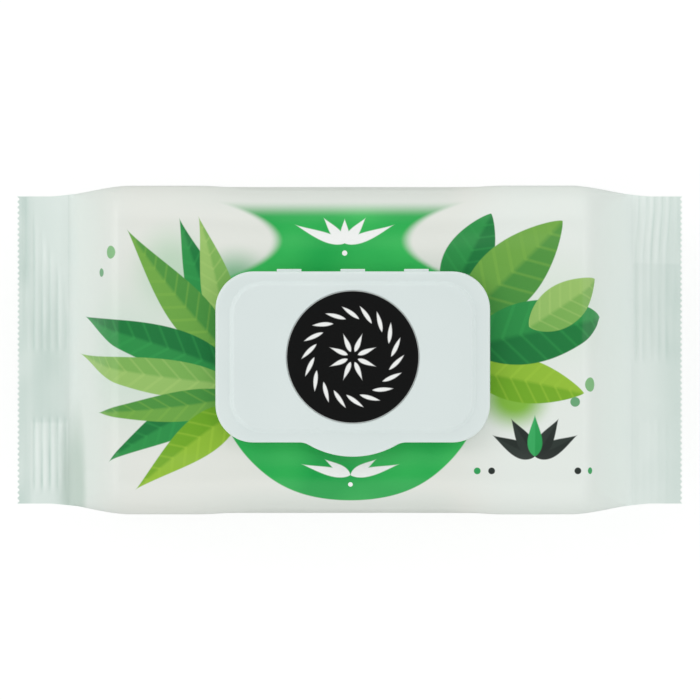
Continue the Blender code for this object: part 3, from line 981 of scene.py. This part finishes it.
    def ribs(self, x: float, y: float, shift: float = 0.0) -> float:
        """The jaws' ribs: 1 in the middle of one, 0 between them.

        At the right end the back half of the film slipped inwards, so they are bowed there.

        Args:
            x: Place along the pack.
            y: Place across it.
            shift: How far towards the middle the pattern is moved.

        Returns:
            The share.
        """
        inward = self.length / 2 - abs(x) - shift
        if x > 0:
            inward -= 0.0013 * ease((0.054 - y) / 0.023)
        total = 0.0
        for i in range(self.rib_count):
            off = (inward - self.first_rib[x > 0] - self.rib_pitch * i) / (self.rib_width / 2)
            total += math.exp(-off * off)
        return total

    def hold(self, x: float, y: float) -> float:
        """How firmly the jaws held the film there, as the crimp shows.

        Args:
            x: Place along the pack.
            y: Place across it.

        Returns:
            The share of the full depth.
        """
        inward = self.length / 2 - abs(x)
        if x < 0:
            start = 0.054 - (inward - 0.0050) * 2.35
            plain = 1 - ease((abs(y + 0.012) - 0.0105) / 0.003)
            low = ease((y + 0.052) / 0.006)
            return ease((start - y) / 0.012) * (1 - 0.92 * plain) * low
        plain = 1 - ease((abs(y + 0.0145) - 0.0085) / 0.004)
        firm = 0.45 + 0.55 * ease((y - 0.029) / 0.004)
        low = 0.5 + 0.5 * ease((y + 0.030) / 0.01)
        return firm * (1 - 0.95 * plain) * low

    def pressed_and_shaded(self, x: float, y: float) -> float:
        """Tone of the film: the seals' own tone, darker where the jaws squeezed it clear, with a painted
        highlight beside each rib and painted light and painted shade over the seals and the body.

        Args:
            x: Place along the pack.
            y: Place across it.

        Returns:
            From -1, bright, to 1, dark.
        """
        inward = self.length / 2 - abs(x)
        # Painted light: the right half of the pack is painted lighter, as are the inner part of each seal
        # and the body just inside the right seal, where they lie in shade.
        whole = -0.5 * ease((x - 0.03) / 0.03)
        foot = 0.5 * ease((inward - 0.007) / 0.0095) * (1 if x > 0 else ease((y + 0.030) / 0.012))
        if inward >= self.seal_length:
            # Painted shade: the film along the middle of the long edges is painted darker.
            along = 1 - ease((abs(x) - 0.020) / 0.055)
            if x > 0:
                whole -= 0.5 * foot * (1 - ease((inward - self.seal_length) / 0.002))
            return whole + 0.17 * along * ease((abs(y) - 0.046) / 0.006)
        hold = self.hold(x, y)
        uneven = noise.noise(Vector((x / 0.0011, y / 0.026, 4.0)))
        cloud = noise.noise(Vector((x / 0.009, y / 0.012, 8.0)))
        # Dark lines on the ribs, partly the film squeezed clear and partly painted shade in the grooves, and
        # a painted highlight line just beside each.
        lines = 0.42 * self.ribs(x, y) * (0.7 + noise.noise(Vector((x / 0.0030, y / 0.013, 1.0))))
        lines -= 0.42 * self.ribs(x, y, 0.0011) * (0.7 + noise.noise(Vector((x / 0.003, y / 0.01, 3))))
        rim = 0.30 * (1 - ease((inward - 0.0005) / 0.0055)) * (1 + cloud)
        if x < 0:
            tone = 0.16 * ease((0.034 - y) / 0.012) * ease((inward - 0.0035) / 0.003)
            tone -= 0.30 * ease((y - 0.014) / 0.02) * ease((inward - 0.003) / 0.004)
            tone += 0.18 * ease((0.020 - y) / 0.012) * ease((inward - 0.0035) / 0.003)
            patch = bell(y + 0.004 + (inward - 0.011) * 0.8, 0.0075)
            tone += 0.20 * patch * ease((inward - 0.007) / 0.003) * (1 - ease((inward - 0.0150) / 0.0008))
            lower = ease((-0.0250 - y) / 0.001)
            tone -= 0.66 * lower * ease((inward - 0.0035) / 0.002)
            lines *= 1 + 1.2 * lower
            # Painted shade in the groove that runs near the left cut edge.
            tone += 0.45 * bell(inward - 0.0024, 0.0008) * ease((y - 0.016) / 0.014)
            tone += rim * (1 - bell(y + 0.006, 0.005))
        else:
            tone = 0.34 * ease((0.0312 - y) / 0.0012) * ease((y + 0.008) / 0.010)
            tone += 0.20 * ease((0.010 - inward) / 0.008) * ease((0.004 - y) / 0.012)
            tone += 0.10 * ease((y - 0.0305) / 0.0012) * ease((0.0135 - inward) / 0.002)
            patch = ease((inward - 0.006) / 0.006) * ease((-0.0235 - y) / 0.004)
            tone -= 0.20 * patch * ease((y + 0.044) / 0.010)
            # Painted shade in the crease at the right seal's root.
            line = bell(self.root + 0.0006 - abs(x), 0.0005)
            tone += 0.40 * line * ease((0.0312 - y) / 0.0012) * ease((y + 0.004) / 0.006)
            tone += 0.42 * (1 - ease((inward - 0.001) / 0.010))
            lines *= 1.5
        total = tone + hold * (lines + 0.30 * uneven) + 0.16 * cloud
        fade = ease((self.seal_length - inward) / 0.0008 + 0.4)
        return min(max(whole - foot + total * fade, -1.0), 1.0)

    def crimp(self, x: float, y: float) -> float:
        """How deep the heat seal's grooves are at a place."""
        uneven = 0.75 + 0.5 * noise.noise(Vector((x / 0.01, y / 0.018, 2.0)))
        return self.rib_depth * self.ribs(x, y) * self.hold(x, y) * uneven

    def seal_form(self, x: float, y: float, top: bool) -> float:
        """Height of the end seal's upper or lower face.

        Args:
            x: Place along the pack.
            y: Place across it.
            top: The upper face.

        Returns:
            The height.
        """
        out = (abs(x) - self.root) / self.seal_length
        wave = 0.0005 * noise.noise(Vector((x / 0.2, y / 0.030, 9.0))) * ease(out)
        edge = 0.0308 if x > 0 else 0.0296
        layers = 0.00016 * max(ease((y - edge) / 0.0006), ease((-y - 0.0246) / 0.0006))
        overlap = 0.00010 * ease((y + 0.0182) / 0.0008) * (1 - ease((y + 0.0006) / 0.0008))
        thick = self.seal_thickness / 2 + (layers + overlap) * ease(out * 6)
        crease = 0.00025 * bell(abs(x) - self.root - 0.0012, 0.0005)
        crease *= ease((0.0316 - y) / 0.002) * ease((y + 0.006) / 0.006) if x > 0 else 0.0
        lip = 0.00014 * bell(self.length / 2 - abs(x) - 0.0024, 0.0006)
        lip *= ease((y - 0.012) / 0.010)
        shift = -self.crimp(x, y) * ease(out * 8) - crease - lip
        return self.seal_level + wave + shift + (thick if top else -thick)

    def build(self) -> Piece:
        """Builds the pouch's mesh.

        Returns:
            The piece, riding on the pack.
        """
        bm = bmesh.new()
        bm.verts.layers.float_vector.new(WEB_PLACE)
        bm.verts.layers.float.new(FILM_TONE_AND_PAINTED_LIGHT)
        rings = [self._body_ring(bm, x) for x in self.stations()]
        for (top_a, right_a, base_a, left_a), (top_b, right_b, base_b, left_b) in zip(rings, rings[1:]):
            bridge(bm, top_a + right_a + base_a + left_a, top_b + right_b + base_b + left_b)
        self._roughen(bm)
        for sign, ring in ((-1, rings[0]), (1, rings[-1])):
            self._add_seal(bm, sign, ring)
        log.info("pouch: %d faces", len(bm.faces))
        obj = piece_from(bm, "film_pouch", self.finish.material(), sharp=60)
        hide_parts("pouch")
        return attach(obj, Body.PACK.value)

    def _body_ring(self, bm: Mesh, x: float) -> tuple[Ring, ...]:
        """Adds one section of the body.

        Args:
            bm: The mesh.
            x: Place along the pack.

        Returns:
            Top from left to right, right gusset downwards, base from right to left, and left
            gusset upwards.
        """
        upper, gusset, lower = self.section(x)
        top = [(-y, z) for y, z in upper[:0:-1]] + [(y, z) for y, z in upper]
        base = [(y, z) for y, z in lower[::-1]] + [(-y, z) for y, z in lower[1:]]
        base = [(y, self._back_seal(y, z)) for y, z in base]
        right = [(y, z) for y, z in gusset]
        left = [(-y, z) for y, z in gusset[::-1]]
        step = _run(upper) / self.quarter_steps / MM
        middle = self.quarter_steps
        ring = []
        for run, first in ((top, -middle), (right, middle + 1), (left, -middle - len(left))):
            points = [((x, y, z), (first + i) * step) for i, (y, z) in enumerate(run)]
            ring.append([self.add_vertex(bm, place, across) for place, across in points])
        ring.insert(2, [self.add_vertex(bm, (x, y, z)) for y, z in base])
        return tuple(ring)

    @cached_property
    def web_table(self) -> tuple[np.ndarray, np.ndarray]:
        """Places along the pack, and how far each is from the middle along the top film."""
        places = np.linspace(0.0, self.root, 120)
        heights = np.array([self.top_height(place) for place in places])
        return places, np.concatenate([[0.0], np.cumsum(np.hypot(np.diff(places), np.diff(heights)))])

    def along_web(self, x: float) -> float:
        """How far x is from the middle along the top film, in millimetres."""
        places, reach = self.web_table
        beyond = max(abs(x) - self.root, 0.0)
        return math.copysign((float(np.interp(abs(x), places, reach)) + beyond) / MM, x)

    def add_vertex(self, bm: Mesh, place: Place, across: float | None = None) -> Vert:
        """Adds a vertex that knows its place on the film laid flat, and the film's tone there.

        Args:
            bm: The mesh.
            place: Where it is.
            across: Millimetres across the film from the middle of the top, or None underneath,
                where nothing is printed.

        Returns:
            The vertex.
        """
        vertex = bm.verts.new(place)
        flat = (1000.0, 0.0, 0.0) if across is None else (self.along_web(place[0]), across, 0.0)
        vertex[bm.verts.layers.float_vector[WEB_PLACE]] = flat
        vertex[bm.verts.layers.float[FILM_TONE_AND_PAINTED_LIGHT]] = self.pressed_and_shaded(place[0], place[1])
        return vertex

    def _back_seal(self, y: float, z: float) -> float:
        """Lifts the underside beside the folded back seal, which lies lowest.

        Args:
            y: Place across it.
            z: Height of the smooth underside.

        Returns:
            The height with the seal's step.
        """
        if z > 0.004:
            return z
        strip = ease((y + self.back_seal_width) / 0.0008) * (1 - ease((y - 0.0001) / 0.0008))
        ribs = 0.00006 * (1 + math.sin(2 * math.pi * y / 0.0040)) * strip
        return z + self.back_seal_step * (1 - strip) * (1 - z / 0.004) + ribs

    def _roughen(self, bm: Mesh) -> None:
        """Moves the body's vertices off the smooth form, apart from its two end rings."""
        bm.normal_update()
        moves = []
        for vertex in bm.verts:
            x, y, z = vertex.co
            fade = ease((self.root - abs(x)) / 0.003)
            moves.append(vertex.normal * (self.relief(x, y, z, vertex.normal) * fade))
        outward = 1 if max(bm.verts, key=lambda v: v.co.z).normal.z > 0 else -1
        for vertex, move in zip(bm.verts, moves):
            vertex.co += move * outward
            vertex.co.z = max(vertex.co.z, 0.00002)

    def _add_seal(self, bm: Mesh, sign: int, ring: tuple[Ring, ...]) -> None:
        """Adds one crimped end seal with its zigzag edge.

        Args:
            bm: The mesh.
            sign: -1 for the left end, 1 for the right.
            ring: The body's last ring there.
        """
        top, right, base, left = ring
        bm.faces.new([top[-1], *right, base[0]])
        bm.faces.new([base[-1], *left, top[0]])
        count = 2 * self.quarter_steps + 1
        previous = top + base
        steps = 52
        half = self.seal_width / 2
        for step in range(1, steps + 1):
            out = step / steps
            rows = []
            for k in range(count):
                y = (k / (count - 1) * 2 - 1) * self.half_width(sign * (self.root + self.seal_length * out))
                x = self.root + (self.seal_length + self.tooth_reach[sign > 0]) * out
                if (k - self.quarter_steps) % 2:
                    x -= self.tooth_depth * max(1 - (steps - step) / 4, 0.0)
                rows.append((sign * x, min(max(y, -half * 1.02), half * 1.02)))
            upper = [self.add_vertex(bm, (x, y, self.seal_form(x, y, True)), y / MM) for x, y in rows]
            lower = [self.add_vertex(bm, (x, y, self.seal_form(x, y, False))) for x, y in reversed(rows)]
            bridge(bm, previous, upper + lower)
            previous = upper + lower
        for k in range(count - 1):
            low = 2 * count - 1 - k
            bm.faces.new((previous[k], previous[k + 1], previous[low - 1], previous[low]))


def _run(rows: np.ndarray) -> float:
    """The length of a run of points."""
    return float(np.hypot(*np.diff(rows, axis=0).T).sum())


# Mouldings


@dataclass
class MouldingSizes:
    """Sizes that the lid and its frame share, from the underside of the frame."""

    seat: Vector = field(default_factory=lambda: Vector((0.0008, -0.0024, 0.0563)))
    outline: RoundedRectangle = RoundedRectangle(0.0949, 0.0591, 0.0131)
    window: RoundedRectangle = RoundedRectangle(0.0640, 0.0330, 0.0120)
    rim_wall: float = 0.0012
    frame_height: float = 0.0030
    band_height: float = 0.0058
    lid_height: float = 0.0070
    lid_foot: float = 0.0033
    hinge_reach: float = 0.0009
    strap_width: float = 0.0085
    strap_pitch: float = 0.0220

    @property
    def hinge(self) -> Point:
        """(y, z) of the hinge line."""
        return self.outline.width / 2 + self.hinge_reach, self.frame_height + 0.00015


def soft_box(bm: Mesh, low: Place, high: Place, radius: float, origin: Vector) -> None:
    """Adds a box whose upright and level edges are rounded.

    Args:
        bm: The mesh.
        low: Lowest corner.
        high: Highest corner.
        radius: Radius of the edges.
        origin: Where the corners' own zero lies.
    """
    middle = Vector(((low[0] + high[0]) / 2, (low[1] + high[1]) / 2, 0.0)) + origin
    length, width = high[0] - low[0], high[1] - low[1]
    rings = []
    for z, turn in ((low[2], 1), (high[2], -1)):
        for i in range(4):
            angle = math.radians(90 * i / 3)
            inset = radius * (1 - (math.sin(angle) if turn > 0 else math.cos(angle)))
            rise = radius * (1 - math.cos(angle)) if turn > 0 else -radius * (1 - math.sin(angle))
            shape = RoundedRectangle(length - 2 * inset, width - 2 * inset, radius * 1.01 - inset * 0.99, 4,
                2, 2)
            rings.append((shape.points(), z + rise))
    placed = loft(bm, rings, middle)
    bm.faces.new(placed[0])
    bm.faces.new(placed[-1])


@dataclass
class LidFrame:
    """The moulded frame: flange, outer wall, sealing rim round the window and latch slot."""

    sizes: MouldingSizes
    plastic: Material
    wall: float = 0.0012
    flange: float = 0.0010
    rim_height: float = 0.0050
    fillet: float = 0.0004
    edge: float = 0.00025

    def build(self) -> Piece:
        """Builds the frame.

        Returns:
            The piece, riding on the pack.
        """
        sizes, edge, fillet = self.sizes, self.edge, self.fillet
        top = sizes.frame_height
        rings: list[tuple[list[Point], float]] = []

        def outer(inset: float, z: float) -> None:
            """Adds a ring parallel to the outer wall."""
            rings.append((sizes.outline.inset(inset).points(), z))

        def inner(growth: float, z: float) -> None:
            """Adds a ring parallel to the window."""
            rings.append((sizes.window.inset(-growth).points(), z))

        outer(edge, 0.0)
        outer(0.0, edge)
        for a, b in rounding(3):
            outer(edge * a, top - edge * b)
        for a, b in rounding(3):
            outer(self.wall - edge * b, top - edge * a)
        for a, b in rounding(4):
            outer(self.wall + fillet * a, self.flange + fillet * b)
        for a, b in rounding(4):
            inner(sizes.rim_wall + fillet * b, self.flange + fillet * a)
        for a, b in rounding(3):
            inner(sizes.rim_wall - edge * a, self.rim_height - edge * b)
        for a, b in rounding(3):
            inner(edge * b, self.rim_height - edge * a)
        inner(0.0, 0.0)
        bm = bmesh.new()
        loft(bm, rings, sizes.seat, looped=True)
        frame_piece = piece_from(bm, "frame_moulding", self.plastic)
        cutter = bmesh.new()
        front = -sizes.outline.width / 2
        soft_box(cutter, (-0.0054, front - 0.001, 0.0015), (0.0054, front + self.wall + 0.0004, 0.0029),
            0.0003, sizes.seat)
        combine(frame_piece, piece_from(cutter, "latch_slot_cut", self.plastic), "DIFFERENCE")
        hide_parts("lid_frame")
        log.info("frame: %d faces", len(frame_piece.data.polygons))
        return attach(frame_piece, Body.PACK.value)


@dataclass
class FlipLid:
    """The moulded lid: skirt, band, raised plateau with the label's recess, and thumb tab."""

    sizes: MouldingSizes
    plastic: Material
    wall: float = 0.0012
    plate: float = 0.0012
    edge: float = 0.0011
    plateau_inset_x: float = 0.0052
    plateau_inset_y: float = 0.0036
    plateau_radius: float = 0.0112
    plateau_slope: float = 0.0013
    recess_radius: float = 0.0230
    recess_depth: float = 0.0004
    tab_reach: float = 0.0049
    tab_width: float = 0.0366
    tab_fillet: float = 0.0060
    tab_thickness: float = 0.0014
    ring_gap: float = 0.0006
    ring_wall: float = 0.0010
    ring_foot: float = 0.0020

    @property
    def tab_arc(self) -> float:
        """Radius of the tab's arc, which meets both fillets without a kink."""
        half = self.tab_width / 2
        return (half**2 + self.tab_reach**2) / (2 * self.tab_reach) - self.tab_fillet

    def tab_front(self, x: float, inset: float) -> float:
        """Y of the lid's front edge at x, taken in by an amount all along.

        Args:
            x: Place along the lid.
            inset: How far the edge is taken in.

        Returns:
            The y.
        """
        front = -self.sizes.outline.width / 2
        half, arc, fillet = self.tab_width / 2, self.tab_arc, self.tab_fillet
        reach = abs(x)
        if reach <= half * (arc - inset) / (arc + fillet):
            return front - self.tab_reach + arc - math.sqrt((arc - inset) ** 2 - reach**2)
        if reach < half:
            return front - fillet + math.sqrt((fillet + inset) ** 2 - (half - reach) ** 2)
        return front + inset

    def tabbed(self, inset: float, tab_inset: float = 0.0) -> list[Point]:
        """The lid's outline with the thumb tab.

        Args:
            inset: How far the outline is taken in.
            tab_inset: How much more the tab alone is taken in.

        Returns:
            The outline, stepped as the plain one is.
        """
        plain = self.sizes.outline.inset(inset)
        front = -plain.width / 2
        points = []
        for x, y in plain.points():
            if abs(y - front) < 1e-9 and abs(x) < self.tab_width / 2:
                share = ease((self.tab_width / 2 - abs(x)) / 0.003)
                y = self.tab_front(x, inset + tab_inset * share)
            points.append((x, y))
        return points

    def plateau(self, shift: float) -> list[Point]:
        """The plateau's outline taken in by that amount from its foot."""
        outline = self.sizes.outline
        return RoundedRectangle(outline.length - 2 * (self.plateau_inset_x + shift),
            outline.width - 2 * (self.plateau_inset_y + shift), self.plateau_radius - shift).points()

    def underside(self) -> list[tuple[list[Point], float]]:
        """Rings from the middle of the ceiling out over the sealing ring to the skirt's foot.

        Returns:
            Outline and height of each ring.
        """
        sizes = self.sizes
        ceiling = sizes.lid_height - self.plate
        inside = sizes.rim_wall + self.ring_gap
        rings = [(sizes.window.inset(-inside + 0.0004).points(), ceiling),
            (sizes.window.inset(-inside).points(), ceiling - 0.0004)]
        for i in range(5):
            angle = math.radians(180 * i / 4)
            growth = inside + self.ring_wall / 2 * (1 - math.cos(angle))
            drop = self.ring_wall / 2 * math.sin(angle) * 0.6
            rings.append((sizes.window.inset(-growth).points(), self.ring_foot + 0.0003 - drop))
        outside = inside + self.ring_wall
        rings += [(sizes.window.inset(-outside).points(), ceiling - 0.0004),
            (sizes.window.inset(-outside - 0.0004).points(), ceiling),
            (self.plateau(self.wall + 0.0004), ceiling), (self.plateau(self.wall), ceiling - 0.0003),
            (self.plateau(self.wall), sizes.band_height - self.plate + 0.0002),
            (self.plateau(self.wall - 0.0002), sizes.band_height - self.plate),
            (sizes.outline.inset(self.wall + 0.0005).points(), sizes.band_height - self.plate),
            (sizes.outline.inset(self.wall).points(), sizes.band_height - self.plate - 0.0005),
            (sizes.outline.inset(self.wall).points(), sizes.lid_foot + 0.0003),
            (sizes.outline.inset(self.wall - 0.0003).points(), sizes.lid_foot),
            (sizes.outline.inset(0.0003).points(), sizes.lid_foot),
            (sizes.outline.points(), sizes.lid_foot + 0.0003)]
        return rings

    def outside(self) -> list[tuple[list[Point], float]]:
        """Rings from the skirt up round the tab and the band to the plateau's top.

        Returns:
            Outline and height of each ring.
        """
        sizes = self.sizes
        band = sizes.band_height
        low = band - self.tab_thickness
        rings = [(sizes.outline.points(), low)]
        for a, b in rounding(3):
            rings.append((self.tabbed(0.0, 0.0004 * b), low + 0.0004 * a + 0.00001))
        for a, b in rounding(6):
            drop = min(self.edge, band - low - 0.0006) * b
            rings.append((self.tabbed(self.edge * a), band - drop))
        step = sizes.lid_height - band
        rings.append((self.plateau(-0.0006), band))
        for i in range(9):
            share = i / 8
            rings.append((self.plateau(-0.0003 + (self.plateau_slope + 0.0003) * share),
                band + step * ease(share)))
        rings.append((self.plateau(self.plateau_slope + 0.0003), sizes.lid_height))
        return rings

    def build(self) -> Piece:
        """Builds the lid.

        Returns:
            The piece, riding on the lid's body.
        """
        sizes = self.sizes
        bm = bmesh.new()
        placed = loft(bm, self.underside() + self.outside(), sizes.seat)
        bm.faces.new(placed[0])
        top = sizes.lid_height
        radius, floor = self.recess_radius, top - self.recess_depth
        recess = loft(bm, [(circle(radius + 0.0003), top), (circle(radius + 0.0001), top),
            (circle(radius), top - 0.0001), (circle(radius), floor + 0.00005),
            (circle(radius - 0.0001), floor)], sizes.seat)
        bm.faces.new(recess[-1])
        fill_between(bm, placed[-1], recess[0])
        lid = piece_from(bm, "lid_moulding", self.plastic)
        face = -sizes.outline.width / 2 + self.wall + 0.0003
        tongue = bmesh.new()
        soft_box(tongue, (-0.005, face, 0.0014),
            (0.005, face + 0.0010, sizes.band_height - self.plate + 0.0006), 0.0002, sizes.seat)
        combine(lid, piece_from(tongue, "latch_tongue_join", self.plastic), "UNION")
        bead = bmesh.new()
        soft_box(bead, (-0.005, face - 0.00025, 0.0019), (0.005, face + 0.0005, 0.0025), 0.0002, sizes.seat)
        combine(lid, piece_from(bead, "latch_bead_join", self.plastic), "UNION")
        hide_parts("lid")
        log.info("lid: %d faces", len(lid.data.polygons))
        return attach(lid, Body.LID.value)


@dataclass
class HingeStraps:
    """The three thin straps of the living hinge, which bend as the lid swings."""

    sizes: MouldingSizes
    plastic: Material
    thickness: float = 0.00045
    root: float = 0.0006
    steps: int = 16
    offsets: tuple[int, ...] = (-1, 0, 1)
    profile: tuple[Point, ...] = ((-1, -0.6), (-0.97, -1), (0.97, -1), (1, -0.6), (1, 0.6), (0.97, 1),
        (-0.97, 1), (-1, 0.6))

    def path(self) -> list[Point]:
        """The middle line of a strap from the frame's wall round to the lid's, as (y, z).

        Returns:
            The points.
        """
        line, level = self.sizes.hinge
        radius = 0.0008 - self.thickness / 2
        centre = line - 0.0008
        start = self.sizes.outline.width / 2 - self.root
        points = [(start, level - radius), (centre, level - radius)]
        for i in range(1, self.steps):
            angle = math.radians(-90 + 180 * i / self.steps)
            points.append((centre + radius * math.cos(angle), level + radius * math.sin(angle)))
        points += [(centre, level + radius), (start, level + radius)]
        return points

    def build(self) -> list[Piece]:
        """Builds the straps.

        Returns:
            The pieces, each bending between the pack and the lid.
        """
        sizes = self.sizes
        straps = []
        line, level = sizes.hinge
        for number, offset in enumerate(self.offsets, start=1):
            bm = bmesh.new()
            path = self.path()
            rings = []
            for i, (y, z) in enumerate(path):
                before, after = path[max(i - 1, 0)], path[min(i + 1, len(path) - 1)]
                dy, dz = after[0] - before[0], after[1] - before[1]
                size = math.hypot(dy, dz)
                ny, nz = dz / size * self.thickness / 2, -dy / size * self.thickness / 2
                half = sizes.strap_width / 2
                x = sizes.seat.x + offset * sizes.strap_pitch
                ring = []
                for sx, sn in self.profile:
                    place = (x + sx * half, sizes.seat.y + y + ny * sn, sizes.seat.z + z + nz * sn)
                    ring.append(bm.verts.new(place))
                rings.append(ring)
            for ring_a, ring_b in zip(rings, rings[1:]):
                bridge(bm, ring_a, ring_b)
            bm.faces.new(rings[0])
            bm.faces.new(rings[-1])
            strap = piece_from(bm, f"hinge_strap_{number}", self.plastic)
            x, y, z = sizes.seat.x, sizes.seat.y + line, sizes.seat.z + level
            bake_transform(strap, Body.PACK.value, Body.LID.value, (x, y, z - 0.0006), (x, y, z + 0.0006))
            straps.append(strap)
        log.info("hinge straps: %d", len(straps))
        return straps


@dataclass
class LidLabel:
    """The round black label in the plateau's recess."""

    sizes: MouldingSizes
    radius: float = 0.02285
    thickness: float = 0.0003
    level: float = 0.0069
    edge: float = 0.00008

    def build(self) -> Piece:
        """Builds the label.

        Returns:
            The piece, riding on the lid.
        """
        seat = self.sizes.seat
        finish = LabelFilm("060606", "c9cfcd", (seat.x, seat.y), 22.68)
        low, high, edge = self.level, self.level + self.thickness, self.edge
        bm = bmesh.new()
        placed = loft(bm, [(circle(self.radius - edge), low), (circle(self.radius), low + edge),
            (circle(self.radius), high - edge), (circle(self.radius - edge), high),
            (circle(self.radius - 3 * edge), high)], seat)
        bm.faces.new(placed[0])
        bm.faces.new(placed[-1])
        label = piece_from(bm, "round_label", finish.material())
        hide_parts("lid_label")
        log.info("label: radius %.1f mm", self.radius / MM)
        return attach(label, Body.LID.value)


@dataclass
class OpeningSeal:
    """The peel-off label over the film's opening, with its lifted pull tongue."""

    sizes: MouldingSizes
    margin: float = 0.0035
    radius: float = 0.0100
    thickness: float = 0.0003
    tongue_width: float = 0.0090
    tongue_reach: float = 0.0020

    def outline(self, inset: float) -> list[Point]:
        """The label's outline with a round pull tongue at its right end.

        Args:
            inset: How far it is taken in.

        Returns:
            The points.
        """
        window = self.sizes.window
        shape = RoundedRectangle(window.length - 2 * self.margin - 2 * inset,
            window.width - 2 * self.margin - 2 * inset, self.radius - inset, short_steps=24)
        end = shape.length / 2
        points = []
        for x, y in shape.points():
            if abs(x - end) < 1e-9 and abs(y) < self.tongue_width / 2:
                x += self.tongue_reach * ease((1 - abs(y) / (self.tongue_width / 2)) * 2.2)
            points.append((x, y))
        return points

    def build(self) -> Piece:
        """Builds the label.

        Returns:
            The piece, riding on the pack.
        """
        bm = bmesh.new()
        thick = self.thickness
        placed = loft(bm, [(self.outline(0.00006), 0.0), (self.outline(0.0), 0.00006),
            (self.outline(0.0), thick - 0.00006), (self.outline(0.00006), thick),
            (self.outline(0.0003), thick)], self.sizes.seat)
        bm.faces.new(placed[0])
        bm.faces.new(placed[-1])
        seal = piece_from(bm, "peel_label", PeelFilm().material())
        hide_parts("opening_seal")
        log.info("peel label: %d faces", len(seal.data.polygons))
        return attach(seal, Body.PACK.value)


# Studio


@dataclass
class Studio:
    """White floor, an even light tent that is dark round the camera, and one weak soft lamp."""

    camera_height: float = 1.400
    seen_width: float = 0.2478
    seen_level: float = 0.028
    centre: Point = (-0.00015, 0.0)
    tent_strength: float = 1.0
    overhead_strength: float = 0.02
    lamp_power: float = 2.6
    lamp_size: float = 0.7
    lamp_place: Place = (-1.3, 0.7, 1.1)

    def build(self) -> None:
        """Builds floor, light and camera."""
        self._floor()
        self._tent()
        self._lamp()
        self._camera()
        bpy.context.scene.view_settings.view_transform = "Standard"
        log.info("studio: camera %.2f m up", self.camera_height)

    def _floor(self) -> None:
        """A pale floor, near white to the camera, that keeps the pack's shadow."""
        bm = bmesh.new()
        size = 3.0
        corners = ((-size, -size), (size, -size), (size, size), (-size, size))
        bm.faces.new([bm.verts.new((x, y, 0.0)) for x, y in corners])
        material = bpy.data.materials.new("studio floor, white paper")
        material.use_nodes = True
        tree = material.node_tree
        tree.nodes.remove(tree.nodes["Principled BSDF"])
        paper = add_node(tree, "BsdfDiffuse", {"Color": srgb("d2d4d2")})
        faint = add_node(tree, "BsdfDiffuse", {"Color": srgb("8c8e8c")})
        shine = add_node(tree, "Emission", {"Color": srgb("ffffff"), "Strength": 0.80})
        both = add_node(tree, "AddShader", {0: faint, 1: shine})
        path = add_node(tree, "LightPath")
        shown = add_node(tree, "MixShader", {0: path.outputs["Is Camera Ray"], 1: paper, 2: both})
        tree.links.new(shown.outputs[0], tree.nodes["Material Output"].inputs["Surface"])
        floor = piece_from(bm, "studio_floor", material)

    def _tent(self) -> None:
        """The white tent, darker overhead where the camera looks in, and white to the camera."""
        world = bpy.data.worlds.new("studio tent")
        world.use_nodes = True
        bpy.context.scene.world = world
        tree = world.node_tree
        direction = add_node(tree, "TexCoord").outputs["Generated"]
        up = add_node(tree, "SeparateXYZ", {"Vector": direction}).outputs["Z"]
        tent = add_node(tree, "MapRange", {0: up, 1: 0.90, 2: 0.965, 3: self.tent_strength,
            4: self.overhead_strength}, interpolation_type="SMOOTHSTEP")
        path = add_node(tree, "LightPath")
        level = add_node(tree, "MapRange", {0: path.outputs["Is Camera Ray"], 3: tent, 4: 1.0})
        background = tree.nodes["Background"]
        background.inputs["Color"].default_value = (1.0, 1.0, 1.0, 1.0)
        tree.links.new(level.outputs[0], background.inputs["Strength"])

    def _lamp(self) -> None:
        """One weak soft lamp, low at the left, that draws out the crimp and the folds."""
        lamp = bpy.data.lights.new("soft box", "AREA")
        lamp.shape = "SQUARE"
        lamp.size = self.lamp_size
        lamp.energy = self.lamp_power
        obj = bpy.data.objects.new("soft_box", lamp)
        bpy.context.scene.collection.objects.link(obj)
        obj.location = self.lamp_place
        aim = Vector((0.0, 0.0, 0.03)) - obj.location
        obj.rotation_euler = aim.to_track_quat("-Z", "Y").to_euler()

    def _camera(self) -> None:
        """The camera of the photograph: straight down, with +Y at the top of the picture."""
        camera = bpy.data.cameras.new("photograph")
        camera.sensor_width = 36.0
        camera.lens = 36.0 * (self.camera_height - self.seen_level) / self.seen_width
        camera.clip_end = 20.0
        obj = bpy.data.objects.new("photograph", camera)
        bpy.context.scene.collection.objects.link(obj)
        obj.location = (self.centre[0], self.centre[1], self.camera_height)
        obj.rotation_euler = (0.0, 0.0, 0.0)
        bpy.context.scene.camera = obj


def main() -> None:
    """Builds the pack's pieces and the studio."""
    logging.basicConfig(level=logging.INFO, format="%(name)s: %(message)s")
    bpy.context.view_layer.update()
    sizes = MouldingSizes()
    plastic = MouldedPolypropylene().material()
    builders: list[Callable[[], Any]] = [FilmPouch().build, LidFrame(sizes, plastic).build,
        OpeningSeal(sizes).build, FlipLid(sizes, plastic).build, LidLabel(sizes).build,
        HingeStraps(sizes, plastic).build, Studio().build]
    for build in builders:
        build()


if __name__ == "__main__":
    main()
